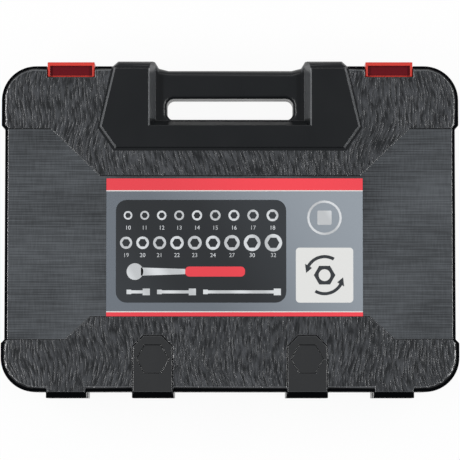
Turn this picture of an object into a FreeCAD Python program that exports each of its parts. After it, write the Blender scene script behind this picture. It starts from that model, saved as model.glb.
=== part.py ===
"""A socket wrench set in its hinged, blow-moulded carrying case.

The case lies on its base with the lid closed.  X runs along the width, +Y points to the handle and the
latches, -Y to the hinges, and Z is up.  The origin is under the middle of the case, on the surface that it
stands on.  All sizes are millimetres and live in one spreadsheet.
"""

import FreeCAD, Part

import math
import os
import re

import Sketcher
from FreeCAD import Placement, Rotation, Vector

doc = FreeCAD.newDocument("SocketSetInCase")
sheet = doc.addObject("Spreadsheet::Sheet", "Sizes")

# Sizes: name, value or a formula in the sizes above it, meaning
SIZES = [
    ("case_width", 384, "width of the case over its corner bumpers"),
    ("rear_edge", 136.5, "origin to the rear wall"),
    ("front_edge", 137.5, "origin to the front wall"),
    ("front_corner", 29, "radius of the case's front corners in plan"),
    ("rear_corner", 29, "radius of the case's rear corners in plan"),
    ("side_recess", 3, "depth of the waist in each side wall"),
    ("recess_rear", 92.6, "origin to the rear end of the side waist"),
    ("recess_front", 84.2, "origin to the front end of the side waist"),
    ("shell_wall", 2.5, "thickness of the two outer shells"),
    ("base_depth", 48, "height of the base half, up to the parting line"),
    ("parting_gap", 0.3, "gap between the two halves"),
    ("lid_depth", 26, "height of the lid half, up to its grained face"),
    ("edge_height", 8, "height of the sloping band round each half's outer face"),
    ("edge_inset", 5, "how far that band slopes inwards"),
    ("fit_gap", 0.3, "clearance between pieces that nest"),
    ("panel_drop", 0.8, "depth of the smooth middle panel below the grained zones"),
    ("zone_front_out", 150, "half width of the middle panel at the side waist, front"),
    ("zone_front_in", 109, "half width of the middle panel's front edge"),
    ("zone_front_low", 44.6, "origin to the middle panel's front edge"),
    ("zone_rear_out", 138, "half width of the middle panel at the side waist, rear"),
    ("zone_rear_in", 117, "half width of the middle panel's rear edge"),
    ("zone_rear_low", 73.5, "origin to the middle panel's rear edge"),
    ("shoulder_front", 141.5, "origin to the front of the handle's shoulders"),
    ("shoulder_out", 98.5, "half width of the shoulders at the front wall"),
    ("shoulder_top", 94, "half width of the shoulders at their front"),
    ("shoulder_in", 63, "half width of the gap between the shoulders"),
    ("bar_half", 52, "half length of the straight part of the grip"),
    ("bar_front", 134.7, "origin to the front of the grip"),
    ("bend_half", 60, "half width of the gap between the shoulders where its corner bends"),
    ("bend_rise", 2, "how far that bend lies in front of the grip"),
    ("grip_half", 14, "half the thickness of the grip"),
    ("grip_round", 7, "radius of the grip's front edges"),
    ("window_half", 53, "half width of the finger window"),
    ("window_rear", 92.5, "origin to the rear edge of the finger window"),
    ("window_front", 110.5, "origin to the front edge of the finger window"),
    ("window_round", 6, "corner radius of the finger window"),
    ("window_rim", 4, "radius of the rounded rim at the front and ends of the finger window"),
    ("window_ledge", 0.8, "ledge between the finger window and the wall behind it"),
    ("handle_rear", 86, "origin to the rear of the solid part that carries the handle"),
    ("block_rise", 2, "height of the handle block and hinge covers above the grained face"),
    ("block_slope", 2, "how far the handle block's edges slope inwards"),
    ("recess_flare", 8, "how far the walls round the grip lean outwards"),
    ("block_wide", 110, "half width of the handle block at its widest"),
    ("block_low_half", 96.5, "half width of the handle block's rear edge"),
    ("block_low", 66.5, "origin to the handle block's rear edge"),
    ("foot_x", 137, "middle of the case to the middle of each foot"),
    ("foot_width", 34, "width of each standing foot"),
    ("foot_reach", 141.5, "origin to the soles of the standing feet"),
    ("foot_run", 12, "how far a foot runs onto the outer face"),
    ("foot_bevel", 1, "corner bevel of the feet"),
    ("tab_draft", 1, "how far the sides of a foot or hinge cover lean inwards"),
    ("foot_gap", 6, "parting line to the nearest face of a foot"),
    ("hinge_x", 64.5, "middle of the case to the middle of each hinge"),
    ("hinge_width", 35, "width of each hinge and its cover"),
    ("hinge_reach", 138.5, "origin to the hinge axis"),
    ("cover_front", 88.4, "origin to the front end of the hinge covers"),
    ("cover_corner", 9, "corner bevel of the hinge covers"),
    ("emblem_circumradius", 13.6, "corner radius of the hexagon sunk into each hinge cover"),
    ("emblem_y", 109, "origin to the middle of that hexagon"),
    ("knuckle_radius", 3, "outer radius of the hinge knuckles"),
    ("pin_radius", 1.5, "radius of the hinge pins and latch pivots"),
    ("pin_clearance", 0.05, "radial running clearance on a pin"),
    ("base_knuckle", 17, "length of the base's knuckle in each hinge"),
    ("latch_x", 133.5, "middle of the case to the middle of each latch"),
    ("latch_width", 39.5, "width of each latch"),
    ("latch_front", 140.2, "origin to the outer face of the latches"),
    ("latch_plate", 3, "thickness of the latch plate"),
    ("latch_hook_rear", 128, "origin to the tip of the latch hook"),
    ("latch_sink", 2, "latch's upper rim to the level of the lid's face"),
    ("latch_top", "=base_depth + lid_depth - latch_sink", "height of the latch's upper rim"),
    ("latch_hook_thick", 3, "thickness of the hook under its rim"),
    ("latch_rim", 2, "width of the raised rim round the latch"),
    ("latch_rim_rise", 3, "height of that rim above the hook"),
    ("latch_pivot_y", 138, "origin to the latch pivot"),
    ("latch_pivot_z", 24, "height of the latch pivot"),
    ("latch_gap", 0.45, "side clearance of a latch in its pocket"),
    ("label_width", 214.5, "width of the contents label"),
    ("label_height", 115.5, "height of the contents label"),
    ("label_x", 3.8, "middle of the label from the middle of the case"),
    ("label_y", -15.6, "middle of the label from the middle of the case"),
    ("label_thick", 0.25, "thickness of the contents label"),
    ("skin", 2, "thickness of the inner skins"),
    ("room_gap", 0.5, "clearance of the inner skins in the shells"),
    ("rim_inset", "=edge_inset + shell_wall + skin + room_gap", "shell's side to the tool compartment"),
    ("room_half", "=case_width/2 - side_recess - rim_inset", "half width of the tool compartment"),
    ("room_rear", "=rear_edge - rim_inset", "origin to the rear wall of the tool compartment"),
    ("front_bay", 23.5, "front wall to the tool compartment, with room for the latches"),
    ("room_front", "=front_edge - front_bay", "origin to the front wall of the tool compartment"),
    ("room_corner", "=rear_corner - rim_inset + 2*room_gap", "corner radius of the tool compartment"),
    ("handle_bay", "=shoulder_in + rim_inset", "half width of the bay round the handle"),
    ("bay_wall", 8, "rear wall of the handle recess to the tool compartment"),
    ("handle_bay_rear", "=handle_rear - bay_wall", "origin to the rear wall of that bay"),
    ("tray_top", 40, "height of the tray's floor between the nests"),
    ("ceiling_drop", 8, "lid's face to the liner's ceiling"),
    ("liner_level", "=base_depth + lid_depth - ceiling_drop", "height of the lid liner's ceiling"),
    ("nest_floor", 7, "height of the floor of the socket nests"),
    ("nest_gap", 0.4, "clearance of a tool in its nest"),
    ("well_floor", 20, "height of the floor of the finger wells"),
    ("well_length", 38, "length of each finger well along X"),
    ("well_1_x", 7, "middle of the finger well near the middle of the case"),
    ("well_2_x", -80, "middle of the other finger well"),
    ("well_rear", 78, "origin to the rear end of the finger wells"),
    ("well_front", 55, "origin to the front end of the finger wells"),
    ("tool_axis", 42, "height of the axes of the tools that lie down"),
    ("drive_square", 12.7, "size of the half-inch drive square"),
    ("drive_gap", 0.15, "clearance round a drive square in its hole, each side"),
    ("drive_depth", 16, "depth of a female drive square"),
    ("drive_length", 15, "length of a male drive square"),
    ("drive_end_radius", 11, "radius of a female drive end"),
    ("ball_radius", 2, "radius of the detent balls"),
    ("ball_proud", 0.7, "how far a detent ball stands out of its square"),
    ("spring_radius", 1.5, "outer radius of the detent springs"),
    ("row_pitch", 35, "spacing of the sockets in the row along the hinge side"),
    ("row_start", 160, "first socket of that row, from the middle of the case"),
    ("row_inset", 19.5, "rear wall of the tool compartment to that row"),
    ("row_y", "=row_inset - room_rear", "that row, from the middle of the case"),
    ("small_pitch", 29.3, "spacing of the five smallest sockets"),
    ("small_inset", 13, "side wall of the tool compartment to the smallest sockets"),
    ("small_x", "=room_half - small_inset", "column of the smallest sockets"),
    ("small_start", -81, "first socket of that column"),
    ("large_pitch", 45.6, "spacing of the three largest sockets"),
    ("large_inset", 23, "side wall of the tool compartment to the largest sockets"),
    ("large_x", "=large_inset - room_half", "column of the largest sockets"),
    ("large_start", -68.5, "first socket of that column"),
    ("socket_slope", 1.27, "growth of a socket's outer diameter with its size"),
    ("socket_extra", 2.6, "outer diameter of a socket of size nought"),
    ("socket_length", 38, "length of the sockets up to size 17"),
    ("socket_growth", 0.67, "growth of the length with each size above 17"),
    ("socket_taper", 6, "height of the step between a socket's two diameters"),
    ("socket_step", 20, "length of a stepped socket's thick drive end"),
    ("socket_play", 0.2, "clearance of a nut in its socket, over the flats"),
    ("nut_depth", 14, "depth of a socket's hexagon"),
    ("mouth_depth", 1.5, "depth of the lead-in cone at a socket's mouth"),
    ("through_radius", 5, "radius of the hole between a socket's hexagon and its square"),
    ("groove", 0.5, "radius of the ring groove round a drive end"),
    ("plug_y", 98.5, "line of the spark plug sockets"),
    ("plug_length", 66, "length of the spark plug sockets"),
    ("plug_16_x", 143, "drive end of the 16 mm plug socket"),
    ("plug_21_x", -94, "drive end of the 21 mm plug socket"),
    ("plug_16_radius", 11, "outer radius of the 16 mm plug socket"),
    ("plug_21_radius", 13.8, "outer radius of the 21 mm plug socket"),
    ("plug_hex", 26, "depth of a plug socket's hexagon"),
    ("plug_insert", 14, "length of the rubber sleeve that holds the plug"),
    ("sleeve_wall", 1.8, "wall of that sleeve"),
    ("sleeve_gap", 0.05, "clearance round a piece that is pushed into a hole"),
    ("bar_row_y", -62.5, "line of the universal joint and the two short extensions"),
    ("long_row_y", -22.6, "line of the long extension"),
    ("extension_75_x", 72, "female end of the 75 mm extension"),
    ("extension_125_x", -6, "female end of the 125 mm extension"),
    ("extension_250_x", 133.5, "female end of the 250 mm extension"),
    ("female_length", 22, "length of an extension's female end"),
    ("female_taper", 7, "length of the cone behind it"),
    ("shaft_radius", 6.2, "radius of an extension's shaft"),
    ("collar_radius", 9, "radius of the collar behind a male square"),
    ("collar_length", 8, "length of that collar"),
    ("joint_x", 112, "centre of the universal joint's cross"),
    ("joint_radius", 12.5, "radius of the universal joint"),
    ("fork_depth", 14, "cross centre to the bottom of each fork"),
    ("fork_gap", 7.2, "cross centre to the inside of a prong"),
    ("prong_half", 5.5, "half the width of a prong"),
    ("joint_female", 21.5, "length of the joint's female end behind its fork"),
    ("joint_base", 6, "length of the joint's drive end between fork and collar"),
    ("joint_collar", 2, "length of the collar behind the joint's square"),
    ("trunnion_radius", 3, "radius of the cross's four trunnions"),
    ("trunnion_reach", 11.8, "cross centre to the end of a trunnion"),
    ("cross_radius", 6.5, "radius of the cross's middle"),
    ("joint_well", 24, "half width and depth of the well round the joint's free half"),
    ("joint_swing", 1, "room past the joint's square for its corners as it tilts"),
    ("ratchet_x", 124, "centre of the ratchet's head"),
    ("ratchet_y", 17.3, "line of the ratchet"),
    ("head_radius", 19, "radius of the ratchet's head"),
    ("head_low", 36, "underside of the ratchet's head"),
    ("head_high", 54, "top of the ratchet's head"),
    ("head_floor", 3, "thickness of the floor under the drive gear"),
    ("gear_radius", 12, "tip radius of the drive gear"),
    ("gear_teeth", 24, "number of teeth on the drive gear"),
    ("tooth_gap", 1.1, "radius of the round gaps between the teeth"),
    ("gear_clear", 0.35, "running clearance round the gear"),
    ("shank_radius", 9.2, "radius of the gear's shank in the head's floor"),
    ("boss_radius", 5.5, "radius of the gear's boss in the cover"),
    ("cover_thick", 3, "thickness of the head's cover plate"),
    ("cover_radius", 17, "radius of the cover plate over the gear"),
    ("pawl_radius", 4.5, "radius of the pawl"),
    ("pawl_gap", 0.5, "tips of the gear's teeth to the pawl"),
    ("pawl_offset", "=gear_radius + pawl_gap + pawl_radius", "gear axis to pawl axis"),
    ("pawl_room", 6, "radius of the pawl's pocket"),
    ("tail_radius", 8.5, "radius of the cover plate over the pawl"),
    ("lever_shaft", 2.5, "radius of the reversing lever's shaft"),
    ("lever_thick", 2.6, "thickness of the reversing lever"),
    ("lever_radius", 5.5, "radius of the reversing lever round its shaft"),
    ("lever_length", 11, "length of the reversing lever's tongue"),
    ("lever_half", 2.6, "half the width of that tongue"),
    ("tail_wall", 3.5, "wall of the head round the end of the cover plate"),
    ("cover_screw_ring", 14.7, "gear axis to each cover screw"),
    ("cover_screw_angle", 60, "angle of each cover screw from the handle's line"),
    ("cover_screw_head", 1.9, "radius of the cover screws' heads"),
    ("cover_screw_shank", 1, "radius of the cover screws' shanks"),
    ("cover_screw_sink", 1.4, "height of the cover screws' heads"),
    ("cover_screw_length", 6, "length of the cover screws under their heads"),
    ("button_radius", 3.5, "radius of the quick-release button"),
    ("button_rise", 2.8, "height of the button above the gear's boss"),
    ("button_length", 9, "length of the button"),
    ("button_spring", 6, "length of the spring under the button"),
    ("spring_wall", 0.6, "thickness of the springs' wire"),
    ("neck_radius", 7.5, "radius of the ratchet's shank"),
    ("grip_start", -9.4, "front end of the ratchet's grip"),
    ("grip_length", 109, "length of the ratchet's grip"),
    ("grip_radius", 15.5, "largest radius of the grip"),
    ("grip_waist", 13.5, "radius of the grip behind its front cone"),
    ("tang_radius", 5, "radius of the ratchet's tang in the grip"),
    ("tang_length", 85, "length of the tang in the grip"),
    ("collar_ring", 4.5, "length of the collar in front of the grip"),
    ("collar_ring_radius", 11, "radius of the collar in front of the grip"),
    ("inlay_half", 4.5, "half the width of the grip's inlays"),
    ("inlay_depth", 2.5, "depth of the grip's inlays"),
    ("inlay_length", 66, "length of the grip's inlays"),
    ("inlay_start", 24, "front end of the grip to its inlays"),
    ("grip_cone", 14, "length of the cone at the front of the grip"),
    ("grip_heel", 8, "length of the heel of the grip"),
    ("heel_inset", 4, "how far the heel draws in"),
    ("bar_x", 4.7, "middle of the sliding bar"),
    ("bar_y", 58.3, "line of the sliding bar"),
    ("bar_length", 250, "length of the sliding bar"),
    ("bar_radius", 6, "radius of the sliding bar"),
    ("stop_inset", 7, "end of the bar to its stop ball"),
    ("slider_radius", 11, "radius of the sliding head"),
    ("slider_half", 12, "half the height of the sliding head"),
    ("slider_travel", 95, "travel of the sliding head each way"),
    ("slider_gap", 0.08, "running clearance of the sliding head on its bar"),
]
NAMES = {name for name, value, meaning in SIZES}
for row, (name, value, meaning) in enumerate(SIZES, start=1):
    sheet.set(f"A{row}", name)
    sheet.set(f"B{row}", str(value))
    sheet.set(f"C{row}", meaning)
    sheet.setAlias(f"B{row}", name)
doc.recompute()

nodes = []  # finished sub-parts, in the order they are made


# Small helpers: expressions, primitives and booleans
def bound(expression):
    """The expression with each size's name pointing at its cell in the sheet."""

    def cell(word):
        return f"Sizes.{word[0]}" if word[0] in NAMES else word[0]

    return re.sub(r"[a-z_][a-z_0-9]*", cell, str(expression))


def number(expression):
    """The value that an expression has now, for first guesses and edge radii."""
    return float(sheet.evalExpression(bound(expression)))


def bind(thing, **properties):
    """Ties each named property of a document object to an expression."""
    for name, expression in properties.items():
        thing.setExpression(name, bound(expression))
    return thing


def place(thing, x=0, y=0, z=0, rotation=None):
    """Turns an object, and ties its position to three expressions."""
    thing.Placement = Placement(Vector(), rotation or Rotation())
    for axis, expression in zip("xyz", (x, y, z)):
        thing.setExpression(f"Placement.Base.{axis}", bound(expression))
    return thing


def block(x0, x1, y0, y1, z0, z1):
    """A box between two corners."""
    made = doc.addObject("Part::Box", "Block")
    bind(made, Length=f"({x1}) - ({x0})", Width=f"({y1}) - ({y0})", Height=f"({z1}) - ({z0})")
    return place(made, x0, y0, z0)


def centred(x, half, y0, y1, z0, z1):
    """A box that reaches as far each way from x."""
    return block(f"({x}) - ({half})", f"({x}) + ({half})", y0, y1, z0, z1)


TURN = {"x": Rotation(Vector(0, 1, 0), 90), "y": Rotation(Vector(1, 0, 0), -90), "z": Rotation()}


def rod(axis, radius, length, x, y, z):
    """A cylinder that starts at a point and runs along +X, +Y or +Z."""
    made = doc.addObject("Part::Cylinder", "Rod")
    bind(made, Radius=radius, Height=length)
    return place(made, x, y, z, TURN[axis])


def cone(axis, radius1, radius2, length, x, y, z):
    """A truncated cone that starts at a point and runs along +X, +Y or +Z."""
    made = doc.addObject("Part::Cone", "Cone")
    bind(made, Radius1=radius1, Radius2=radius2, Height=length)
    return place(made, x, y, z, TURN[axis])


def ball(radius, x, y, z):
    made = doc.addObject("Part::Sphere", "Ball")
    return place(bind(made, Radius=radius), x, y, z)


def hexagon(axis, circumradius, length, x, y, z):
    """A six-sided prism that starts at a point and runs along an axis."""
    made = doc.addObject("Part::Prism", "Hexagon")
    made.Polygon = 6
    bind(made, Circumradius=circumradius, Height=length)
    return place(made, x, y, z, TURN[axis])


def fuse(*shapes):
    made = doc.addObject("Part::MultiFuse", "Fuse")
    made.Shapes = list(shapes)
    made.Refine = True
    return made


def cut(base, *tools):
    made = doc.addObject("Part::Cut", "Cut")
    made.Base = base
    made.Tool = tools[0] if len(tools) == 1 else fuse(*tools)
    made.Refine = True
    return made


def common(*shapes):
    made = doc.addObject("Part::MultiCommon", "Common")
    made.Shapes = list(shapes)
    return made


def bundle(*shapes):
    """Separate solids kept together under one name."""
    made = doc.addObject("Part::Compound", "Bundle")
    made.Links = list(shapes)
    return made


def rounded(base, radius, wanted):
    """Fillets the edges of a shape for which wanted(edge) is true."""
    doc.recompute()
    made = doc.addObject("Part::Fillet", "Fillet")
    made.Base = base
    size = number(radius)
    made.Edges = [(i, size, size) for i, edge in enumerate(base.Shape.Edges, start=1) if wanted(edge)]
    return made


def upright(edge):
    """True for a straight edge along Z."""
    return isinstance(edge.Curve, Part.Line) and abs(edge.Curve.Direction.z) > 0.999


def rounded_block(x0, x1, y0, y1, z0, z1, radius):
    """A box with its four upright edges rounded."""
    return rounded(block(x0, x1, y0, y1, z0, z1), radius, upright)


def outline(points, arcs=()):
    """A closed sketch in the XY plane through points given as expressions.

    arcs maps the number of a segment to the radius of the round corner that it is, turning left.
    """
    arcs = dict(arcs)
    sketch = doc.addObject("Sketcher::SketchObject", "Outline")
    spots = [Vector(number(x), number(y), 0) for x, y in points]
    count = len(spots)
    for i, start in enumerate(spots):
        end = spots[(i + 1) % count]
        if i in arcs:
            chord = end - start
            radius = number(arcs[i])
            sag = radius - math.sqrt(max(radius**2 - (chord.Length / 2) ** 2, 0))
            outward = Vector(chord.y, -chord.x, 0).normalize()
            middle = (start + end) * 0.5 + outward * sag
            sketch.addGeometry(Part.Arc(start, middle, end), False)
        else:
            sketch.addGeometry(Part.LineSegment(start, end), False)
    for i in range(count):
        sketch.addConstraint(Sketcher.Constraint("Coincident", i, 2, (i + 1) % count, 1))
    for i, (x, y) in enumerate(points):
        for kind, expression in (("DistanceX", x), ("DistanceY", y)):
            index = sketch.addConstraint(Sketcher.Constraint(kind, -1, 1, i, 1, number(expression)))
            sketch.setExpression(f"Constraints[{index}]", bound(expression))
    for i, radius in arcs.items():
        index = sketch.addConstraint(Sketcher.Constraint("Radius", i, number(radius)))
        sketch.setExpression(f"Constraints[{index}]", bound(radius))
    return sketch


def prism(sketch, z0, z1):
    """A sketch in the XY plane, pulled up from z0 to z1."""
    made = doc.addObject("Part::Extrusion", "Prism")
    made.Base = sketch
    made.DirMode = "Normal"
    made.Solid = True
    bind(made, LengthFwd=f"({z1}) - ({z0})")
    return place(made, 0, 0, z0)


def mirrored(points):
    """A right-hand outline, from rear to front, closed by its mirror image in the plane X = 0."""
    return points + [(f"-({x})", y) for x, y in reversed(points)]


def node(shape, label):
    """Names a finished sub-part."""
    shape.Label = label
    nodes.append(shape)
    return shape


# The two outer shells share their plan, so each feature is placed by its distance from the parting line
HALVES = {
    "base": {"level": "base_depth - ({})", "depth": "base_depth", "rise": "0"},
    "lid": {
        "level": "base_depth + parting_gap + ({})",
        "depth": "lid_depth - parting_gap",
        "rise": "block_rise",
    },
}
BEYOND = "10"  # how far a cutting tool runs past the face that it opens
PAST_FRONT = "shoulder_front + 20"  # a plane well in front of the case


def level(half, distance):
    """The height of a plane that lies a distance outside the parting line."""
    return HALVES[half]["level"].format(distance)


def span(half, near, far):
    """The lower and the upper of two levels, given by their distances from the parting line."""
    levels = (level(half, near), level(half, far))
    return levels[::-1] if half == "base" else levels


def slab(half, sketch, near, far):
    """An outline pulled from one distance outside the parting line to another."""
    return prism(sketch, *span(half, near, far))


def box_in(half, x0, x1, y0, y1, near, far):
    """A box between two distances from the parting line."""
    return block(x0, x1, y0, y1, *span(half, near, far))


def stacked(half, sections):
    """A solid through outlines with as many corners, each at its distance from the parting line."""
    made = doc.addObject("Part::Loft", "Stacked")
    for sketch, distance in sections:
        place(sketch, 0, 0, level(half, distance))
    made.Sections = [sketch for sketch, distance in sections]
    made.Solid = True
    made.Ruled = True
    return made


EDGE_STEPS = 4  # flats that make up a rounded edge


def rounded_edge(half, make_outline, top, height, inset):
    """A rounded edge that ends at a distance from the parting line, in flats along a quarter ellipse."""
    angles = [90 * step / EDGE_STEPS for step in range(EDGE_STEPS + 1)]
    return stacked(
        half,
        [
            (make_outline(f"({inset})*(1 - cos({angle}))"), f"{top} - ({height})*(1 - sin({angle}))")
            for angle in angles
        ],
    )


def case_outline(inset):
    """The plan of the case: round corners, waisted sides, two shoulders and the grip between them."""
    right = [
        ("case_width/2 - rear_corner", f"-rear_edge + {inset}"),
        (f"case_width/2 - {inset}", "-rear_edge + rear_corner"),
        (f"case_width/2 - {inset}", "-recess_rear - side_recess"),
        (f"case_width/2 - side_recess - {inset}", "-recess_rear"),
        (f"case_width/2 - side_recess - {inset}", "recess_front"),
        (f"case_width/2 - {inset}", "recess_front + side_recess"),
        (f"case_width/2 - {inset}", "front_edge - front_corner"),
        ("case_width/2 - front_corner", f"front_edge - {inset}"),
        ("shoulder_out", f"front_edge - {inset}"),
        ("shoulder_top", f"shoulder_front - {inset}"),
        ("shoulder_in", f"shoulder_front - {inset}"),
        ("bend_half", f"bar_front + bend_rise - {inset}"),
        ("bar_half", f"bar_front - {inset}"),
    ]
    last = 2 * len(right) - 1
    rear = f"rear_corner - {inset}"
    front = f"front_corner - {inset}"
    return outline(mirrored(right), {0: rear, 6: front, last - 7: front, last - 1: rear})


def handle_block_outline(inset):
    """The plan of the smooth raised block that carries the handle."""
    return outline(
        mirrored(
            [
                (f"block_low_half - {inset}/2", f"block_low + {inset}"),
                (f"block_wide - {inset}", "handle_rear"),
                (f"shoulder_out - {inset}", f"shoulder_front - edge_inset - {inset}"),
            ]
        )
    )


def middle_panel_outline():
    """The plan of the smooth middle panel, which runs out through both side walls."""
    return outline(
        mirrored(
            [
                ("zone_rear_in", "-zone_rear_low"),
                ("zone_rear_out", "-recess_rear"),
                ("case_width", "-recess_rear"),
                ("case_width", "recess_front"),
                ("zone_front_out", "recess_front"),
                ("zone_front_in", "zone_front_low"),
            ]
        )
    )


def grip_recess_outline(grow):
    """The plan of the hollow round the grip, open to the front."""
    half = f"shoulder_in + {grow}"
    rear = f"window_rear - window_ledge - ({grow})"
    return outline(mirrored([(half, rear), (half, PAST_FRONT)]))


def window_outline(grow):
    """The plan of the finger window, grown at its front and ends by a part of its rounded rim."""
    half = f"window_half + {grow}"
    front_round = f"window_round + {grow}"
    return outline(
        mirrored(
            [
                (f"window_half - window_round + {grow}", "window_rear"),
                (half, "window_rear + window_round"),
                (half, "window_front - window_round"),
                ("window_half - window_round", f"window_front + {grow}"),
            ]
        ),
        {0: "window_round", 2: front_round, 4: front_round, 6: "window_round"},
    )


def tab_outline(x, half_width, front, reach, bevel):
    """The plan of a hinge cover or foot, with bevelled front corners."""
    return outline(
        [
            (f"{x} - {half_width}", f"-({reach})"),
            (f"{x} + {half_width}", f"-({reach})"),
            (f"{x} + {half_width}", f"-({front}) - {bevel}"),
            (f"{x} + {half_width} - {bevel}", f"-({front})"),
            (f"{x} - {half_width} + {bevel}", f"-({front})"),
            (f"{x} - {half_width}", f"-({front}) - {bevel}"),
        ]
    )


def tab(half, x, width, front, bevel, rise):
    """A hinge cover or a foot: it stands proud of the rear wall, and slopes back to the outer face."""
    band = f"{HALVES[half]['depth']} - edge_height"
    top = f"{HALVES[half]['depth']} + {rise}"
    wide = f"{width}/2"
    narrow = f"({width}/2 - tab_draft)"
    far_reach = "foot_reach - edge_inset"
    return fuse(
        slab(half, tab_outline(x, wide, front, "foot_reach", bevel), "foot_gap", band),
        stacked(
            half,
            [
                (tab_outline(x, wide, front, "foot_reach", bevel), band),
                (tab_outline(x, narrow, f"({front}) + tab_draft", far_reach, bevel), top),
            ],
        ),
    )


def room_block(z0, z1, grow):
    """The tool compartment's space, with the bay for the handle left out, grown by a wall."""
    room = rounded_block(
        f"-room_half - {grow}",
        f"room_half + {grow}",
        f"-room_rear - {grow}",
        f"room_front + {grow}",
        z0,
        z1,
        f"room_corner + {grow}",
    )
    bay = block(
        f"-handle_bay + {grow}",
        f"handle_bay - {grow}",
        f"handle_bay_rear + {grow}",
        "front_edge",
        f"({z0}) - 1",
        f"({z1}) + 1",
    )
    return cut(room, bay)


def latch_room(half, side, grow):
    """The space that a latch needs in one half of the case, grown by a wall or a clearance."""
    wide = f"latch_width/2 + latch_gap + ({grow})"
    if half == "base":
        rear = f"latch_pivot_y - knuckle_radius - latch_gap - ({grow})"
        far = f"base_depth - latch_pivot_z + knuckle_radius + latch_gap + ({grow})"
    else:
        rear = f"latch_hook_rear - latch_gap - ({grow})"
        far = "lid_depth + block_rise"
    x = f"{side}*latch_x"
    return box_in(half, f"{x} - ({wide})", f"{x} + ({wide})", rear, PAST_FRONT, f"-{BEYOND}", far)


def hollow(half):
    """The space inside a shell, one wall thickness in from its outside, clear of the handle."""
    inner = "case_width/2 - side_recess - shell_wall"
    depth = f"{HALVES[half]['depth']} - panel_drop - shell_wall"
    low, high = (level(half, depth), level(half, f"-{BEYOND}"))
    if half == "lid":
        low, high = high, low
    space = rounded_block(
        f"-({inner})",
        inner,
        "-rear_edge + shell_wall",
        "front_edge - shell_wall",
        low,
        high,
        "rear_corner - shell_wall",
    )
    handle = box_in(
        half,
        "-shoulder_in - edge_inset - shell_wall",
        "shoulder_in + edge_inset + shell_wall",
        "handle_rear - shell_wall",
        "shoulder_front + 10",
        f"-2*{BEYOND}",
        f"2*{BEYOND} + base_depth",
    )
    # the sloping band round the outer face leaves less room near that face
    rim = "(edge_inset + shell_wall)"
    near_face = rounded_block(
        f"-case_width/2 + side_recess + {rim}",
        f"case_width/2 - side_recess - {rim}",
        f"-rear_edge + {rim}",
        f"front_edge - {rim}",
        low,
        high,
        f"rear_corner - {rim}",
    )
    band = f"{HALVES[half]['depth']} - edge_height - shell_wall"
    shallow = box_in(half, "-case_width", "case_width", "-case_width", "case_width", f"-2*{BEYOND}", band)
    latch_boxes = [latch_room(half, side, "shell_wall") for side in (-1, 1)]
    return cut(fuse(common(space, shallow), near_face), handle, *latch_boxes)


def shell_outside(half):
    """The outside of one half of the case, before it is hollowed."""
    band = f"{HALVES[half]['depth']} - edge_height"
    face = HALVES[half]["depth"]
    solids = [
        slab(half, case_outline("0"), "0", band),
        rounded_edge(half, case_outline, face, "edge_height", "edge_inset"),
    ]
    for side in (-1, 1):
        solids.append(tab(half, f"{side}*foot_x", "foot_width", "rear_edge - foot_run", "foot_bevel", "0"))
    body = cut(
        fuse(*solids),
        slab(half, middle_panel_outline(), f"{face} - panel_drop", f"{face} + {BEYOND}"),
    )
    covers = [
        tab(half, f"{side}*hinge_x", "hinge_width", "cover_front", "cover_corner", HALVES[half]["rise"])
        for side in (-1, 1)
    ]
    proud = [*covers]
    if half == "lid":
        low = (handle_block_outline("0"), f"{face} - block_rise")
        high = (handle_block_outline("block_slope"), f"{face} + block_rise")
        proud.append(stacked(half, [low, high]))
    body = fuse(body, *proud)
    past_face = f"{face} + {BEYOND}"
    grip_recess = stacked(
        half, [(grip_recess_outline("0"), "grip_half"), (grip_recess_outline("recess_flare"), past_face)]
    )
    window = slab(half, window_outline("0"), f"-{BEYOND}", past_face)
    window_rim = rounded_edge(half, window_outline, "grip_half", "window_rim", "window_rim")
    grip_front = box_in(
        half,
        "-shoulder_in",
        "shoulder_in",
        "bar_front - grip_round",
        PAST_FRONT,
        "grip_half - grip_round",
        past_face,
    )
    grip_edge = cut(grip_front, rounded_edge(half, case_outline, "grip_half", "grip_round", "grip_round"))
    emblems = [
        hexagon(
            "z",
            "emblem_circumradius",
            BEYOND,
            f"{side}*hinge_x",
            "-emblem_y",
            level(half, f"{face} + {HALVES[half]['rise']} - panel_drop"),
        )
        for side in (-1, 1)
    ]
    tools = [grip_recess, window, window_rim, grip_edge]
    return cut(body, *(tools + emblems if half == "lid" else tools))


# Hinges: the base has one knuckle in each, between the lid's two
KNUCKLES = {
    "base": [("-base_knuckle/2", "base_knuckle/2")],
    "lid": [
        ("-hinge_width/2", "-base_knuckle/2 - fit_gap"),
        ("base_knuckle/2 + fit_gap", "hinge_width/2"),
    ],
}


def knuckle_rods(half, side, radius, grow):
    """Rods on a hinge's axis, one for each knuckle of that half, a little longer where grow is set."""
    return [
        rod(
            "x",
            radius,
            f"({right}) - ({left}) + 2*({grow})",
            f"{side}*hinge_x + ({left}) - ({grow})",
            "-hinge_reach",
            "base_depth",
        )
        for left, right in KNUCKLES[half]
    ]


def knuckles(half, side):
    """The knuckles of one hinge on one half, with the webs that carry them."""
    webs = [
        box_in(
            half,
            f"{side}*hinge_x + ({left})",
            f"{side}*hinge_x + ({right})",
            "-hinge_reach - knuckle_radius",
            "-rear_edge + shell_wall",
            "0",
            "foot_gap + 1",
        )
        for left, right in KNUCKLES[half]
    ]
    return knuckle_rods(half, side, "knuckle_radius", "0") + webs


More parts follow.
